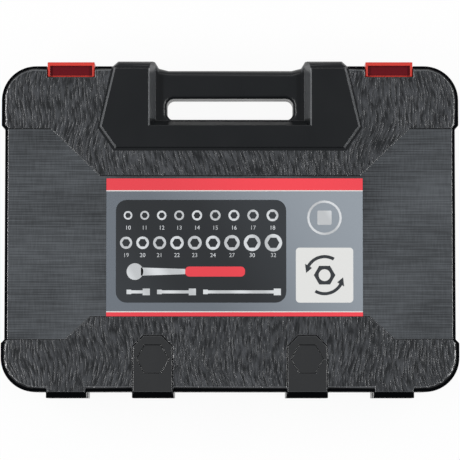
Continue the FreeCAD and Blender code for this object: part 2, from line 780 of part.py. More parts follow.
def make_shell(half, bore):
    """One outer half of the case with its knuckles, latch pockets and grip."""
    other = "lid" if half == "base" else "base"
    sides = (-1, 1)
    hinges = [piece for side in sides for piece in knuckles(half, side)]
    shell = fuse(cut(shell_outside(half), hollow(half)), *hinges)
    grip_core = box_in(
        half,
        "-bar_half + shell_wall",
        "bar_half - shell_wall",
        "window_front + shell_wall",
        "bar_front - shell_wall",
        f"-{BEYOND}",
        "grip_half - grip_round",
    )
    openings = [grip_core]
    for side in sides:
        openings += knuckle_rods(other, side, "knuckle_radius + fit_gap + 0.2", "fit_gap")
        bore_start = f"{side}*hinge_x - hinge_width/2 - 1"
        openings.append(rod("x", bore, "hinge_width + 2", bore_start, "-hinge_reach", "base_depth"))
        openings.append(latch_room(half, side, "0"))
    shell = cut(shell, *openings)
    if half == "base":
        bars = [
            rod(
                "x",
                "pin_radius",
                "latch_width + 2*latch_gap + shell_wall",
                f"{side}*latch_x - latch_width/2 - latch_gap - shell_wall/2",
                "latch_pivot_y",
                "latch_pivot_z",
            )
            for side in sides
        ]
        shell = fuse(shell, *bars)
    return node(shell, f"{half}_shell")


make_shell("base", "pin_radius + 0.01")
make_shell("lid", "pin_radius + pin_clearance")

for side, name in ((-1, "left"), (1, "right")):
    start = f"{side}*hinge_x - hinge_width/2"
    node(rod("x", "pin_radius", "hinge_width", start, "-hinge_reach", "base_depth"), f"hinge_pin_{name}")


# Latches: a plate on the base's pivot bar, with a hook that lies in the lid's notch
def make_latch(side, name):
    x = f"{side}*latch_x"
    wide = "latch_width/2"
    hook_top = "latch_top - latch_rim_rise"
    plate = centred(x, wide, "latch_front - latch_plate", "latch_front", "latch_pivot_z", "latch_top")
    hook = centred(x, wide, "latch_hook_rear", "latch_front", f"{hook_top} - latch_hook_thick", hook_top)
    rims = [
        centred(
            f"{x} + {end}*(latch_width/2 - latch_rim/2)",
            "latch_rim/2",
            "latch_hook_rear",
            "latch_front",
            f"{hook_top} - 1",
            "latch_top",
        )
        for end in (-1, 1)
    ]
    pivot = ("latch_pivot_y", "latch_pivot_z")
    barrel = rod("x", "knuckle_radius", "latch_width", f"{x} - {wide}", *pivot)
    bore = rod("x", "pin_radius + pin_clearance", "latch_width + 2", f"{x} - {wide} - 1", *pivot)
    # a cut-out in the middle of the barrel leaves two arms that snap over the bar
    gap = centred(
        x,
        "latch_width/4",
        f"latch_pivot_y - {BEYOND}",
        f"latch_pivot_y + {BEYOND}",
        f"latch_pivot_z - {BEYOND}",
        "latch_pivot_z + 2*knuckle_radius",
    )
    node(cut(fuse(plate, hook, barrel, *rims), bore, gap), f"latch_{name}")


make_latch(-1, "left")
make_latch(1, "right")

LABEL_LEVEL = "base_depth + lid_depth - panel_drop"
label = centred(
    "label_x",
    "label_width/2",
    "label_y - label_height/2",
    "label_y + label_height/2",
    LABEL_LEVEL,
    f"{LABEL_LEVEL} + label_thick",
)
node(label, "contents_label")


# Inner skins: a flange that fills the mouth of each half, and a pan that hangs from it
def flange(half, near):
    inner = "case_width/2 - side_recess - shell_wall - fit_gap"
    plate = rounded_block(
        f"-({inner})",
        inner,
        "-rear_edge + shell_wall + fit_gap",
        "front_edge - shell_wall - fit_gap",
        *span(half, near, f"{near} + skin"),
        "rear_corner - shell_wall - fit_gap",
    )
    handle = box_in(
        half,
        "-shoulder_in - edge_inset - shell_wall - fit_gap",
        "shoulder_in + edge_inset + shell_wall + fit_gap",
        "handle_rear - shell_wall - fit_gap",
        "shoulder_front + 10",
        f"-{BEYOND}",
        f"{BEYOND}",
    )
    latch_boxes = [latch_room(half, side, "shell_wall + fit_gap") for side in (-1, 1)]
    return cut(plate, handle, *latch_boxes)


FLANGE = "fit_gap"  # how far the flanges lie inside the parting line


def make_liner():
    """The lid's inner skin: a plain pan that leaves room for the tops of the tools."""
    pan = room_block(level("lid", FLANGE), "liner_level + skin", "skin")
    space = room_block("base_depth", "liner_level", "0")
    return node(cut(fuse(flange("lid", FLANGE), pan), space), "lid_liner")


make_liner()


# Tools: each one also tells the tray what to make room for, as a function of the gap round it
nests = []
HALF_DRIVE = "drive_square/2"
FEMALE = "(drive_square/2 + drive_gap)"
TOOL_FOOT = "nest_floor + fit_gap"


def lying(y, segments, grow):
    """Round bars end to end along X at the tools' height; a segment is its two ends and a radius."""
    return [
        rod(
            "x",
            f"{radius} + {grow}",
            f"({x1}) - ({x0}) + 2*({grow})",
            f"({x0}) - ({grow})",
            y,
            "tool_axis",
        )
        for x0, x1, radius in segments
    ]


def nest_lying(y, segments):
    nests.append(lambda grow: lying(y, segments, grow))


def nest_standing(x, y, radius, foot):
    height = f"tray_top - ({foot})"
    nests.append(
        lambda grow: [rod("z", f"{radius} + {grow}", f"{height} + 2*({grow})", x, y, f"{foot} - ({grow})")]
    )


def nest_box(x0, x1, y0, y1, foot):
    nests.append(
        lambda grow: [
            block(
                f"({x0}) - ({grow})",
                f"({x1}) + ({grow})",
                f"({y0}) - ({grow})",
                f"({y1}) + ({grow})",
                f"({foot}) - ({grow})",
                f"tray_top + {grow}",
            )
        ]
    )


def square_along_x(x0, x1, y, half):
    return block(x0, x1, f"{y} - {half}", f"{y} + {half}", f"tool_axis - {half}", f"tool_axis + {half}")


def square_down(x, y, z0, z1, half):
    return block(f"{x} - {half}", f"{x} + {half}", f"{y} - {half}", f"{y} + {half}", z0, z1)


BALL_SEAT = "1"  # how far a ball's bore reaches past the axis of its square


def beside(axis, x, y, z, distance):
    """A point that lies a distance away along +Y or +Z."""
    return (x, f"{y} + {distance}", z) if axis == "y" else (x, y, f"{z} + {distance}")


def detent(axis, x, y, z, surface):
    """The bore and the ball of a detent that looks out along +Y or +Z, at surface from the axis."""
    start = beside(axis, x, y, z, f"-{BALL_SEAT}")
    bore = rod(axis, "ball_radius + sleeve_gap", f"{surface} + {BALL_SEAT} + 1", *start)
    return bore, ball("ball_radius", *beside(axis, x, y, z, f"({surface} - ball_radius + ball_proud)"))


def detent_spring(axis, x, y, z, surface):
    """The spring between the bottom of a detent's bore and its ball, as a plain sleeve."""
    length = f"{surface} - 2*ball_radius + ball_proud + {BALL_SEAT}"
    start = beside(axis, x, y, z, f"-{BALL_SEAT}")
    return cut(
        rod(axis, "spring_radius", length, *start), rod(axis, "spring_radius - spring_wall", length, *start)
    )


# Sockets stand on their drive ends, with the hexagon up
def make_socket(size, x, y):
    nut_radius = f"({size}*socket_slope + socket_extra)/2"
    stepped = number(nut_radius) < number("drive_end_radius")
    length = f"(socket_length + {max(0, size - 17)}*socket_growth)"
    top = f"{TOOL_FOOT} + {length}"
    wide = "drive_end_radius" if stepped else nut_radius
    if stepped:
        outside = fuse(
            rod("z", wide, "socket_step", x, y, TOOL_FOOT),
            cone("z", wide, nut_radius, "socket_taper", x, y, f"{TOOL_FOOT} + socket_step"),
            rod("z", nut_radius, f"{length} - socket_step", x, y, f"{TOOL_FOOT} + socket_step"),
        )
    else:
        outside = rod("z", wide, length, x, y, TOOL_FOOT)
    corner = f"({size} + socket_play)/2/cos(30)"
    hole = [
        square_down(x, y, f"{TOOL_FOOT} - 1", f"{TOOL_FOOT} + drive_depth", FEMALE),
        rod("z", "through_radius", length, x, y, TOOL_FOOT),
        hexagon("z", corner, "nut_depth + 1", x, y, f"{top} - nut_depth"),
        cone("z", f"{corner} - mouth_depth", corner, "mouth_depth", x, y, f"{top} - mouth_depth"),
    ]
    ring = doc.addObject("Part::Torus", "Groove")
    bind(ring, Radius1=wide, Radius2="groove")
    place(ring, x, y, f"{TOOL_FOOT} + drive_depth/2")
    nest_standing(x, y, wide, TOOL_FOOT)
    node(cut(outside, *hole, ring), f"socket_{size}")


for index, size in enumerate((10, 11, 12, 13, 14)[::-1]):
    make_socket(size, "small_x", f"(small_start + {index}*small_pitch)")
for index, size in enumerate(range(15, 25)):
    make_socket(size, f"(row_start - {index}*row_pitch)", "row_y")
for index, size in enumerate((27, 30, 32)):
    make_socket(size, "large_x", f"(large_start + {index}*large_pitch)")


# Spark plug sockets lie down: a drive end, a hexagon at the mouth and a rubber sleeve behind it
def make_plug_socket(size):
    x1 = f"plug_{size}_x"
    x0 = f"{x1} - plug_length"
    radius = f"plug_{size}_radius"
    corner = f"({size} + socket_play)/2/cos(30)"
    bore = f"({size} - 1)/2"
    sleeve_x = f"{x0} + plug_hex"
    outside = rod("x", radius, "plug_length", x0, "plug_y", "tool_axis")
    hollows = [
        square_along_x(f"{x1} - drive_depth", f"{x1} + 1", "plug_y", FEMALE),
        rod("x", bore, "plug_length - drive_depth - 4", x0, "plug_y", "tool_axis"),
        rod("x", "through_radius", "plug_length", x0, "plug_y", "tool_axis"),
        hexagon("x", corner, "plug_hex + 1", f"{x0} - 1", "plug_y", "tool_axis"),
    ]
    nest_lying("plug_y", [(x0, x1, radius)])
    node(cut(outside, *hollows), f"spark_plug_socket_{size}")
    sleeve = cut(
        rod("x", f"{bore} - sleeve_gap", "plug_insert", sleeve_x, "plug_y", "tool_axis"),
        rod("x", f"{bore} - sleeve_wall", "plug_insert", sleeve_x, "plug_y", "tool_axis"),
    )
    node(sleeve, f"plug_insert_{size}")


make_plug_socket(16)
make_plug_socket(21)


# Extensions: a female end, a cone, a plain shaft, a collar and a male square with its detent
def make_extension(length, y):
    x1 = f"extension_{length}_x"
    x0 = f"{x1} - {length}"
    square_end = f"{x0} + drive_length"
    collar_end = f"{square_end} + collar_length"
    head = f"{x1} - female_length"
    segments = [
        (x0, square_end, f"{HALF_DRIVE}*sqrt(2)"),
        (square_end, collar_end, "collar_radius"),
        (collar_end, head, "shaft_radius"),
        (head, x1, "drive_end_radius"),
    ]
    taper = cone(
        "x", "shaft_radius", "drive_end_radius", "female_taper", f"{head} - female_taper", y, "tool_axis"
    )
    seat = ("z", f"{x0} + drive_length/2", y, "tool_axis", HALF_DRIVE)
    bore, detent_ball = detent(*seat)
    solid = fuse(
        square_along_x(x0, f"{square_end} + 1", y, HALF_DRIVE), *lying(y, segments[1:], "0"), taper
    )
    hole = square_along_x(f"{x1} - drive_depth", f"{x1} + 1", y, FEMALE)
    nest_lying(y, [*segments[:3], (f"{head} - female_taper", x1, "drive_end_radius")])
    node(cut(solid, hole, bore), f"extension_{length}")
    return detent_ball, detent_spring(*seat)


detents = [
    make_extension(75, "bar_row_y"),
    make_extension(125, "bar_row_y"),
    make_extension(250, "long_row_y"),
]
node(bundle(*(made for made, spring in detents)), "extension_detent_balls")
node(bundle(*(spring for made, spring in detents)), "extension_detent_springs")


# Universal joint: a fork on each half, a quarter turn apart, on the trunnions of one cross
def fork(pivot, direction):
    """Two round-ended prongs from the bottom of a fork to the cross, for a pivot along Y or Z."""
    far = f"joint_x + {direction}*(fork_depth + 1)"
    x0, x1 = ("joint_x", far) if direction > 0 else (far, "joint_x")
    beyond = "joint_radius + 1"
    arm_y, arm_z = (beyond, "prong_half") if pivot == "y" else ("prong_half", beyond)
    gap_y, gap_z = ("fork_gap", beyond) if pivot == "y" else (beyond, "fork_gap")

    def bar(start, end, half_y, half_z):
        return block(
            start,
            end,
            f"bar_row_y - ({half_y})",
            f"bar_row_y + {half_y}",
            f"tool_axis - ({half_z})",
            f"tool_axis + {half_z}",
        )

    pin_start = ("joint_x", f"bar_row_y - ({beyond})", "tool_axis")
    if pivot == "z":
        pin_start = ("joint_x", "bar_row_y", f"tool_axis - ({beyond})")
    barrel_start = ("joint_x - fork_depth - 1", "bar_row_y", "tool_axis")
    barrel = rod("x", "joint_radius", "2*(fork_depth + 1)", *barrel_start)
    tip = rod(pivot, "prong_half", f"2*({beyond})", *pin_start)
    gap = bar("joint_x - 2*fork_depth", "joint_x + 2*fork_depth", gap_y, gap_z)
    bore = rod(pivot, "trunnion_radius + pin_clearance", f"2*({beyond})", *pin_start)
    return cut(common(barrel, fuse(bar(x0, x1, arm_y, arm_z), tip)), gap, bore)


def make_universal_joint():
    female_x = "joint_x + fork_depth"
    female_end = f"{female_x} + joint_female"
    base_x = "joint_x - fork_depth - joint_base"
    square_x = f"{base_x} - joint_collar"
    free_end = f"{square_x} - drive_length"
    line = "bar_row_y"
    socket_end = lying(line, [(female_x, female_end, "joint_radius")], "0")
    hole = square_along_x(f"{female_end} - drive_depth", f"{female_end} + 1", line, FEMALE)
    node(cut(fuse(fork("y", 1), *socket_end), hole), "joint_socket_yoke")
    cross = fuse(
        ball("cross_radius", "joint_x", line, "tool_axis"),
        rod("y", "trunnion_radius", "2*trunnion_reach", "joint_x", f"{line} - trunnion_reach", "tool_axis"),
        rod("z", "trunnion_radius", "2*trunnion_reach", "joint_x", line, "tool_axis - trunnion_reach"),
    )
    node(cross, "joint_cross")
    drive_steps = [(base_x, "joint_x - fork_depth", "joint_radius"), (square_x, base_x, "collar_radius")]
    drive_end = [
        *lying(line, drive_steps, "0"),
        square_along_x(free_end, f"{square_x} + 1", line, HALF_DRIVE),
    ]
    seat = ("z", f"{square_x} - drive_length/2", line, "tool_axis", HALF_DRIVE)
    bore, detent_ball = detent(*seat)
    node(cut(fuse(fork("z", -1), *drive_end), bore), "joint_drive_yoke")
    node(detent_ball, "joint_detent_ball")
    node(detent_spring(*seat), "joint_detent_spring")
    nest_lying(line, [("joint_x", female_end, "joint_radius")])
    well_end = f"{free_end} - joint_swing"
    nest_box(well_end, female_x, f"{line} - joint_well", f"{line} + joint_well", "tool_axis - joint_well")


make_universal_joint()


# Ratchet: the head holds a toothed drive gear, a pawl on the lever's shaft and a screwed cover
PAWL_X = "(ratchet_x - pawl_offset)"
GEAR_FLOOR = "(head_low + head_floor)"
COVER_LOW = "(head_high - cover_thick)"


def head_rod(radius, z0, z1, x="ratchet_x"):
    return rod("z", radius, f"({z1}) - ({z0})", x, "ratchet_y", z0)


def cover_screw_rods(radius, z0, z1):
    """One upright rod at each cover screw."""
    x = "ratchet_x + cover_screw_ring*cos(cover_screw_angle)"
    aside = "cover_screw_ring*sin(cover_screw_angle)"
    return [rod("z", radius, f"({z1}) - ({z0})", x, f"ratchet_y {side} {aside}", z0) for side in "-+"]


SCREW_SEAT = "(head_high - cover_screw_sink)"
SCREW_END = f"({SCREW_SEAT} - cover_screw_length)"


def make_ratchet_body():
    tail = "tail_radius + tail_wall"
    shank = [
        ("grip_start", PAWL_X, "neck_radius"),
        ("grip_start - tang_length", "grip_start", "tang_radius"),
    ]
    solid = fuse(
        head_rod("head_radius", "head_low", "head_high"),
        head_rod(tail, "head_low", "head_high", PAWL_X),
        *lying("ratchet_y", shank, "0"),
    )
    hollows = [
        head_rod("gear_radius + gear_clear", GEAR_FLOOR, "head_high + 1"),
        head_rod("pawl_room", GEAR_FLOOR, "head_high + 1", PAWL_X),
        head_rod("cover_radius", COVER_LOW, "head_high + 1"),
        head_rod("tail_radius", COVER_LOW, "head_high + 1", PAWL_X),
        head_rod("shank_radius + slider_gap", "head_low - 1", "head_high"),
        *cover_screw_rods("cover_screw_shank + sleeve_gap", f"{SCREW_END} - 1", "head_high"),
    ]
    node(cut(solid, *hollows), "ratchet_body")
    nest_standing("ratchet_x", "ratchet_y", "head_radius", "head_low")
    nest_standing(PAWL_X, "ratchet_y", tail, "head_low")
    nest_standing("ratchet_x", "ratchet_y", f"{HALF_DRIVE}*sqrt(2)", "head_low - drive_length")
    nest_lying("ratchet_y", shank[:1])


def make_head_cover():
    plate = fuse(
        head_rod("cover_radius - sleeve_gap", COVER_LOW, "head_high"),
        head_rod("tail_radius - sleeve_gap", COVER_LOW, "head_high", PAWL_X),
    )
    holes = [
        head_rod("boss_radius + slider_gap", f"{COVER_LOW} - 1", "head_high + 1"),
        head_rod("lever_shaft + pin_clearance", f"{COVER_LOW} - 1", "head_high + 1", PAWL_X),
        *cover_screw_rods("cover_screw_shank + sleeve_gap", f"{COVER_LOW} - 1", "head_high"),
        *cover_screw_rods("cover_screw_head + sleeve_gap", SCREW_SEAT, "head_high + 1"),
    ]
    node(cut(plate, *holes), "head_cover")
    heads = cover_screw_rods("cover_screw_head", SCREW_SEAT, "head_high")
    shanks = cover_screw_rods("cover_screw_shank", SCREW_END, SCREW_SEAT)
    node(bundle(*(fuse(head, shank) for head, shank in zip(heads, shanks))), "cover_screws")


BUTTON_TOP = "(head_high + button_rise)"
BUTTON_FOOT = f"({BUTTON_TOP} - button_length)"


def make_drive():
    """The gear with its drive square, the quick-release button in it, and the button's spring."""
    teeth = int(number("gear_teeth"))
    gaps = [
        rod(
            "z",
            "tooth_gap",
            "head_high - head_low",
            f"ratchet_x + gear_radius*cos({index}*360/gear_teeth)",
            f"ratchet_y + gear_radius*sin({index}*360/gear_teeth)",
            "head_low + 1",
        )
        for index in range(teeth)
    ]
    wheel = cut(head_rod("gear_radius", f"{GEAR_FLOOR} + fit_gap", f"{COVER_LOW} - fit_gap"), *gaps)
    solid = fuse(
        wheel,
        head_rod("boss_radius", f"{COVER_LOW} - 1", "head_high"),
        head_rod("shank_radius", "head_low", f"{GEAR_FLOOR} + 1"),
        square_down("ratchet_x", "ratchet_y", "head_low - drive_length", "head_low + 1", HALF_DRIVE),
    )
    seat = ("y", "ratchet_x", "ratchet_y", "head_low - drive_length/2", HALF_DRIVE)
    ball_bore, detent_ball = detent(*seat)
    spring_foot = f"({BUTTON_FOOT} - button_spring)"
    button_bore = head_rod("button_radius + pin_clearance", spring_foot, "head_high + 1")
    node(cut(solid, ball_bore, button_bore), "ratchet_drive_gear")
    node(detent_ball, "drive_detent_ball")
    node(head_rod("button_radius", BUTTON_FOOT, BUTTON_TOP), "release_button")
    coil = "button_radius - fit_gap"
    node(
        cut(
            head_rod(coil, spring_foot, BUTTON_FOOT),
            head_rod(f"{coil} - spring_wall", spring_foot, BUTTON_FOOT),
        ),
        "button_spring",
    )


def make_lever():
    """The reversing lever on top of the head, and the pawl on its shaft."""
    low = "head_high + fit_gap"
    high = f"{low} + lever_thick"
    tongue_x = f"({PAWL_X} - lever_length)"
    tongue = block(tongue_x, PAWL_X, "ratchet_y - lever_half", "ratchet_y + lever_half", low, high)
    lever = fuse(
        head_rod("lever_radius", low, high, PAWL_X),
        head_rod("lever_half", low, high, tongue_x),
        tongue,
        head_rod("lever_shaft", f"{GEAR_FLOOR} + 2", f"{low} + 1", PAWL_X),
    )
    node(lever, "reversing_lever")
    pawl = cut(
        head_rod("pawl_radius", f"{GEAR_FLOOR} + fit_gap", f"{COVER_LOW} - fit_gap", PAWL_X),
        head_rod("lever_shaft + sleeve_gap", "head_low", "head_high", PAWL_X),
    )
    node(pawl, "ratchet_pawl")


def make_grip():
    """The ratchet's two-colour grip with a collar in front of it."""
    end = "(grip_start - grip_length)"
    heel = f"({end} + grip_heel)"
    waist = "(grip_start - grip_cone)"
    line = "ratchet_y"
    whole = fuse(
        cone("x", "grip_waist", "collar_ring_radius", "grip_cone", waist, line, "tool_axis"),
        cone("x", "grip_radius", "grip_waist", f"{waist} - {heel}", heel, line, "tool_axis"),
        cone("x", "grip_radius - heel_inset", "grip_radius", "grip_heel", end, line, "tool_axis"),
    )

    def strips(play):
        start = "(grip_start - inlay_start)"
        low = f"(grip_waist - inlay_depth - {play})"
        return [
            block(
                f"{start} - inlay_length - {play}",
                f"{start} + {play}",
                f"{line} - inlay_half - {play}",
                f"{line} + inlay_half + {play}",
                f"tool_axis + {z0}",
                f"tool_axis + {z1}",
            )
            for z0, z1 in ((low, "grip_radius + 1"), ("(-grip_radius - 1)", f"(-{low})"))
        ]

    node(bundle(*(common(whole, strip) for strip in strips("0"))), "grip_inlays")
    tang = [("grip_start - tang_length - fit_gap", "grip_start + 1", "tang_radius + sleeve_gap")]
    node(cut(whole, *strips("sleeve_gap"), *lying(line, tang, "0")), "grip_core")
    ring = [("grip_start", "grip_start + collar_ring", "collar_ring_radius")]
    hole = [("grip_start - 1", "grip_start + collar_ring + 1", "neck_radius + sleeve_gap")]
    node(cut(*lying(line, ring, "0"), *lying(line, hole, "0")), "grip_collar")
    nest_lying(line, [(end, "grip_start", "grip_radius"), *ring])


make_ratchet_body()
make_head_cover()
make_drive()
make_lever()
make_grip()


# Sliding bar: a plain bar with a stop ball near each end, and a head that slides between them
def make_sliding_bar():
    ends = [f"(bar_x {sign} bar_length/2)" for sign in ("-", "+")]
    stops = [
        detent("z", f"(bar_x {sign} (bar_length/2 - stop_inset))", "bar_y", "tool_axis", "bar_radius")
        for sign in ("-", "+")
    ]
    bar = [(*ends, "bar_radius")]
    node(cut(*lying("bar_y", bar, "0"), *(bore for bore, stop in stops)), "sliding_bar")
    node(bundle(*(stop for bore, stop in stops)), "bar_stop_balls")
    low = "(tool_axis - slider_half)"
    foot = f"({low} - drive_length)"
    seat = ("y", "bar_x", "bar_y", f"{low} - drive_length/2", HALF_DRIVE)
    ball_bore, detent_ball = detent(*seat)
    head = fuse(
        rod("z", "slider_radius", "2*slider_half", "bar_x", "bar_y", low),
        square_down("bar_x", "bar_y", foot, f"{low} + 1", HALF_DRIVE),
    )
    node(cut(head, *lying("bar_y", bar, "slider_gap"), ball_bore), "slider_head")
    node(detent_ball, "slider_detent_ball")
    node(detent_spring(*seat), "slider_detent_spring")
    nest_lying("bar_y", bar)
    reach = "slider_travel + slider_radius"
    nest_box(
        f"bar_x - ({reach})", f"bar_x + {reach}", "bar_y - slider_radius", "bar_y + slider_radius", foot
    )


make_sliding_bar()


# The tray: a pan that hangs from its flange, with a thin-walled nest under each tool
def make_tray():
    for middle in ("well_1_x", "well_2_x"):
        ends = (f"{middle} - well_length/2", f"{middle} + well_length/2")
        nest_box(*ends, "-well_rear", "well_front", "well_floor")
    everywhere = ("-case_width", "case_width", "-case_width", "case_width")
    below = block(*everywhere, "0", "tray_top")
    walls = [piece for nest in nests for piece in nest("(nest_gap + skin)")]
    hollows = [piece for nest in nests for piece in nest("nest_gap")]
    pan = room_block("tray_top - skin", level("base", FLANGE), "skin")
    space = room_block("tray_top", "base_depth + 1", "0")
    skin = fuse(flange("base", FLANGE), pan, common(fuse(*walls), below))
    node(cut(skin, space, *hollows), "tool_tray")


make_tray()


# Every object has to have come out sound before anything is written
doc.recompute()
for thing in doc.Objects:
    if "Invalid" in thing.State or "Error" in thing.State:
        raise RuntimeError(f"{thing.Name} ({thing.Label}) failed: {thing.State}")
for piece in nodes:
    if piece.Shape.isNull() or not piece.Shape.isValid():
        raise RuntimeError(f"{piece.Label} has no sound shape")
os.makedirs("parts", exist_ok=True)
for piece in nodes:
    piece.Shape.exportStep(f"parts/{piece.Label}.step")
    print(f"{piece.Label}: {len(piece.Shape.Solids)} solid(s), {piece.Shape.Volume / 1000:.2f} cm3")
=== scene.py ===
"""Looks of a socket wrench set in its moulded case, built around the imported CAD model."""

import itertools
import math

import bmesh
import bpy
from bpy.types import Operator, Panel, PropertyGroup
from mathutils import Matrix, Vector


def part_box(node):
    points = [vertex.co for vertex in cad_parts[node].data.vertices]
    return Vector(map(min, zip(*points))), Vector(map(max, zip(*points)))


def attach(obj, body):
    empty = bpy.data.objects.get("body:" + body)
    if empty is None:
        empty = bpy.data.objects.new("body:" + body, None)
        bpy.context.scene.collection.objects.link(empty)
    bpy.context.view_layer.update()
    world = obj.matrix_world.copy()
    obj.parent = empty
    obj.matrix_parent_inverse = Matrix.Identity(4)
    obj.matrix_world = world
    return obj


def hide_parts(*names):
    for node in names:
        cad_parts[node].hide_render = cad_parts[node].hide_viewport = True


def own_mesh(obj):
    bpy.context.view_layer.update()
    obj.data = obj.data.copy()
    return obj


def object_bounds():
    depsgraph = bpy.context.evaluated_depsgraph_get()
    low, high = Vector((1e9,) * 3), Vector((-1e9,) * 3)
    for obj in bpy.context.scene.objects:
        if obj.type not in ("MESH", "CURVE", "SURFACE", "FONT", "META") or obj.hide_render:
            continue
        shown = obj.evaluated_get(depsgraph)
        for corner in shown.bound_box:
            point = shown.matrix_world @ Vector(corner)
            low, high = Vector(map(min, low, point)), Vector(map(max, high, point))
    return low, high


bl_info = {
    "name": "Socket wrench set",
    "version": (1, 0, 0),
    "blender": (4, 5, 0),
    "location": "3D View > Sidebar > Socket set",
    "description": "Finishes and fine detail for a moulded case of half-inch drive tools",
    "category": "Object",
}

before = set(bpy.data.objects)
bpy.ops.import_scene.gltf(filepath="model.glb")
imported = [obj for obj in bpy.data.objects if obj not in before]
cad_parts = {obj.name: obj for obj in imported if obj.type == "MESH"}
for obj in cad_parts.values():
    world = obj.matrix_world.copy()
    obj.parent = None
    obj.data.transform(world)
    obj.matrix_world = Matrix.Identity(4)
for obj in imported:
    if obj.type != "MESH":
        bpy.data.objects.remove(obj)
CAD_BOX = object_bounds()

MM = 0.001
SOCKET_SIZES = [*range(10, 25), 27, 30, 32]
PLUG_SIZES = [16, 21]
EXTENSIONS = [75, 125, 250]
SIDES = ["left", "right"]


def linear(colour):
    """A hex sRGB colour such as #2b2d30 as linear red, green, blue and alpha."""
    channels = [int(colour[start : start + 2], 16) / 255 for start in (1, 3, 5)]
    return (*[c / 12.92 if c <= 0.04045 else ((c + 0.055) / 1.055) ** 2.4 for c in channels], 1.0)


def colour_property(name, description, default):
    """A colour that a user may change, from a hex default."""
    return bpy.props.FloatVectorProperty(
        name=name, description=description, default=linear(default), size=4, min=0, max=1, subtype="COLOR"
    )


def size_property(name, description, default):
    """A length that a user may change, from a default in millimetres."""
    return bpy.props.FloatProperty(
        name=name, description=description, default=default * MM, min=0, unit="LENGTH", precision=5
    )


class CaseSettings(PropertyGroup):
    """Sizes and colours of the case, its latches and its inner skins."""

    grain_dark: colour_property("Grain, low", "Plastic in the furrows of the leather grain", "#1c1e20")
    # pale ridges: partly abrasion and partly painted glints
    grain_light: colour_property("Grain, high", "Plastic on the ridges of the leather grain", "#4e5053")
    panel: colour_property("Middle panel", "Plastic of the smooth middle panel", "#474a4d")
    smooth: colour_property("Handle block", "Plastic of the handle block and grip", "#17191b")
    cover: colour_property("Hinge covers", "Plastic of the hinge covers", "#303132")
    edge_round: size_property("Edge round", "Round on the lid's edges, half as much on the base", 1.0)
    # painted shade: the sloping edges and walls are the case's own plastic, painted near black
    edge: colour_property("Outer edges", "Plastic of the sloping edges round the case", "#0b0c0e")
    # painted highlight along the edges of the case, the panel's seam and the handle block
    rim: colour_property("Worn edges", "Plastic along the edges where the case is rubbed", "#77797b")
    # painted light on the walls beside the grip, which are the handle block's own plastic
    shoulder: colour_property("Shoulder walls", "Plastic of the walls beside the grip", "#4a4c4e")
    grain_width: size_property("Grain width", "Distance between two wrinkles of the leather grain", 1.4)
    grain_length: size_property("Grain length", "Length of one wrinkle of the leather grain", 11)
    latch: colour_property("Latches", "Plastic of the latches", "#d9453b")
    # painted shade in the latches' sunk parts, which are the same red plastic
    latch_deep: colour_property("Latches, inside", "Plastic in the sunk parts of the latches", "#67101a")
    tray: colour_property("Tray", "Plastic of the tray and the lid's liner", "#1e1f21")
    numeral: colour_property("Numerals", "Ink of the size numerals in the tray", "#c9c9c6")


class LabelSettings(PropertyGroup):
    """Sizes and colours of the label on the lid."""

    ground: colour_property("Ground", "Ink of the label's ground", "#6d747c")
    ground_light: colour_property("Ground, light", "Ink of the pale sweep across the ground", "#98a0a8")
    band: colour_property("Bands", "Ink of the bands along the label's edges", "#ec434d")
    panel: colour_property("Panel", "Ink of the dark panel", "#25282b")
    mark: colour_property("Marks", "Ink of the rings, bars and numerals", "#dfe2e4")
    card: colour_property("Card", "Ink of the pale card and the rules", "#e9e9e6")
    numeral_height: size_property("Numeral height", "Height of the label's numerals", 3.4)


class ToolSettings(PropertyGroup):
    """Sizes and colours of the tools."""

    chrome: colour_property("Chrome", "Reflection colour of the satin chrome plate", "#e2e4e6")
    steel: colour_property("Steel", "Reflection colour of bare polished steel", "#bfc1c3")
    grip: colour_property("Grip", "Rubber of the ratchet's grip", "#1d1e1f")
    inlay: colour_property("Inlays", "Plastic of the grip's inlays and collar", "#c62a31")
    edge_round: size_property("Edge round", "Round on the edges of the tools", 0.3)
    knurl_depth: size_property("Knurl depth", "Height of the ridges of a knurl", 0.25)


class StageSettings(PropertyGroup):
    """Camera, floor and lights."""

    view_width: size_property("View width", "Width of the view at the lid's face", 384.4)
    camera_distance: size_property("Camera distance", "Lid's face to the camera", 2400)
    camera_aim: size_property("Camera aim", "Middle of the view behind the middle of the case", 1.3)
    camera_lean: bpy.props.FloatProperty(
        name="Camera lean",
        description="Angle of the view towards the hinges",
        default=math.radians(3.6),
        unit="ROTATION",
    )
    floor: colour_property("Floor", "Colour of the floor", "#ffffff")
    evenness: bpy.props.FloatProperty(
        name="Evenness",
        description="Share of the floor's look that no shadow reaches",
        default=0.93,
        subtype="FACTOR",
    )
    sky: bpy.props.FloatProperty(name="Sky", description="Strength of the light from all round", default=0.28)


# Materials
def add_node(tree, kind, inputs, output=0, family="ShaderNode", **settings):
    """Adds a node and returns one of its outputs. An input is a constant or the socket to link."""
    new = tree.nodes.new(family + kind)
    for key, value in settings.items():
        setattr(new, key, value)
    for key, value in inputs.items():
        if isinstance(value, bpy.types.NodeSocket):
            tree.links.new(value, new.inputs[key])
        else:
            new.inputs[key].default_value = value
    return new.outputs[output]


# a Mix node takes its share at socket 0, numbers at 2 and 3, and colours at 6 and 7
COLOUR_MIX = {"output": 2, "data_type": "RGBA"}
# a MapRange node reads from the range at sockets 1 and 2, and gives the range at 3 and 4
NOISE_RANGE = {1: 0.3, 2: 0.7}  # most values of a noise texture


def start_material(name, constants):
    """A material, its node tree and its shader, with the shader's constant values set."""
    made = bpy.data.materials.new(name)
    made.use_nodes = True
    shader = made.node_tree.nodes["Principled BSDF"]
    for key, value in constants.items():
        shader.inputs[key].default_value = value
    return made, made.node_tree, shader


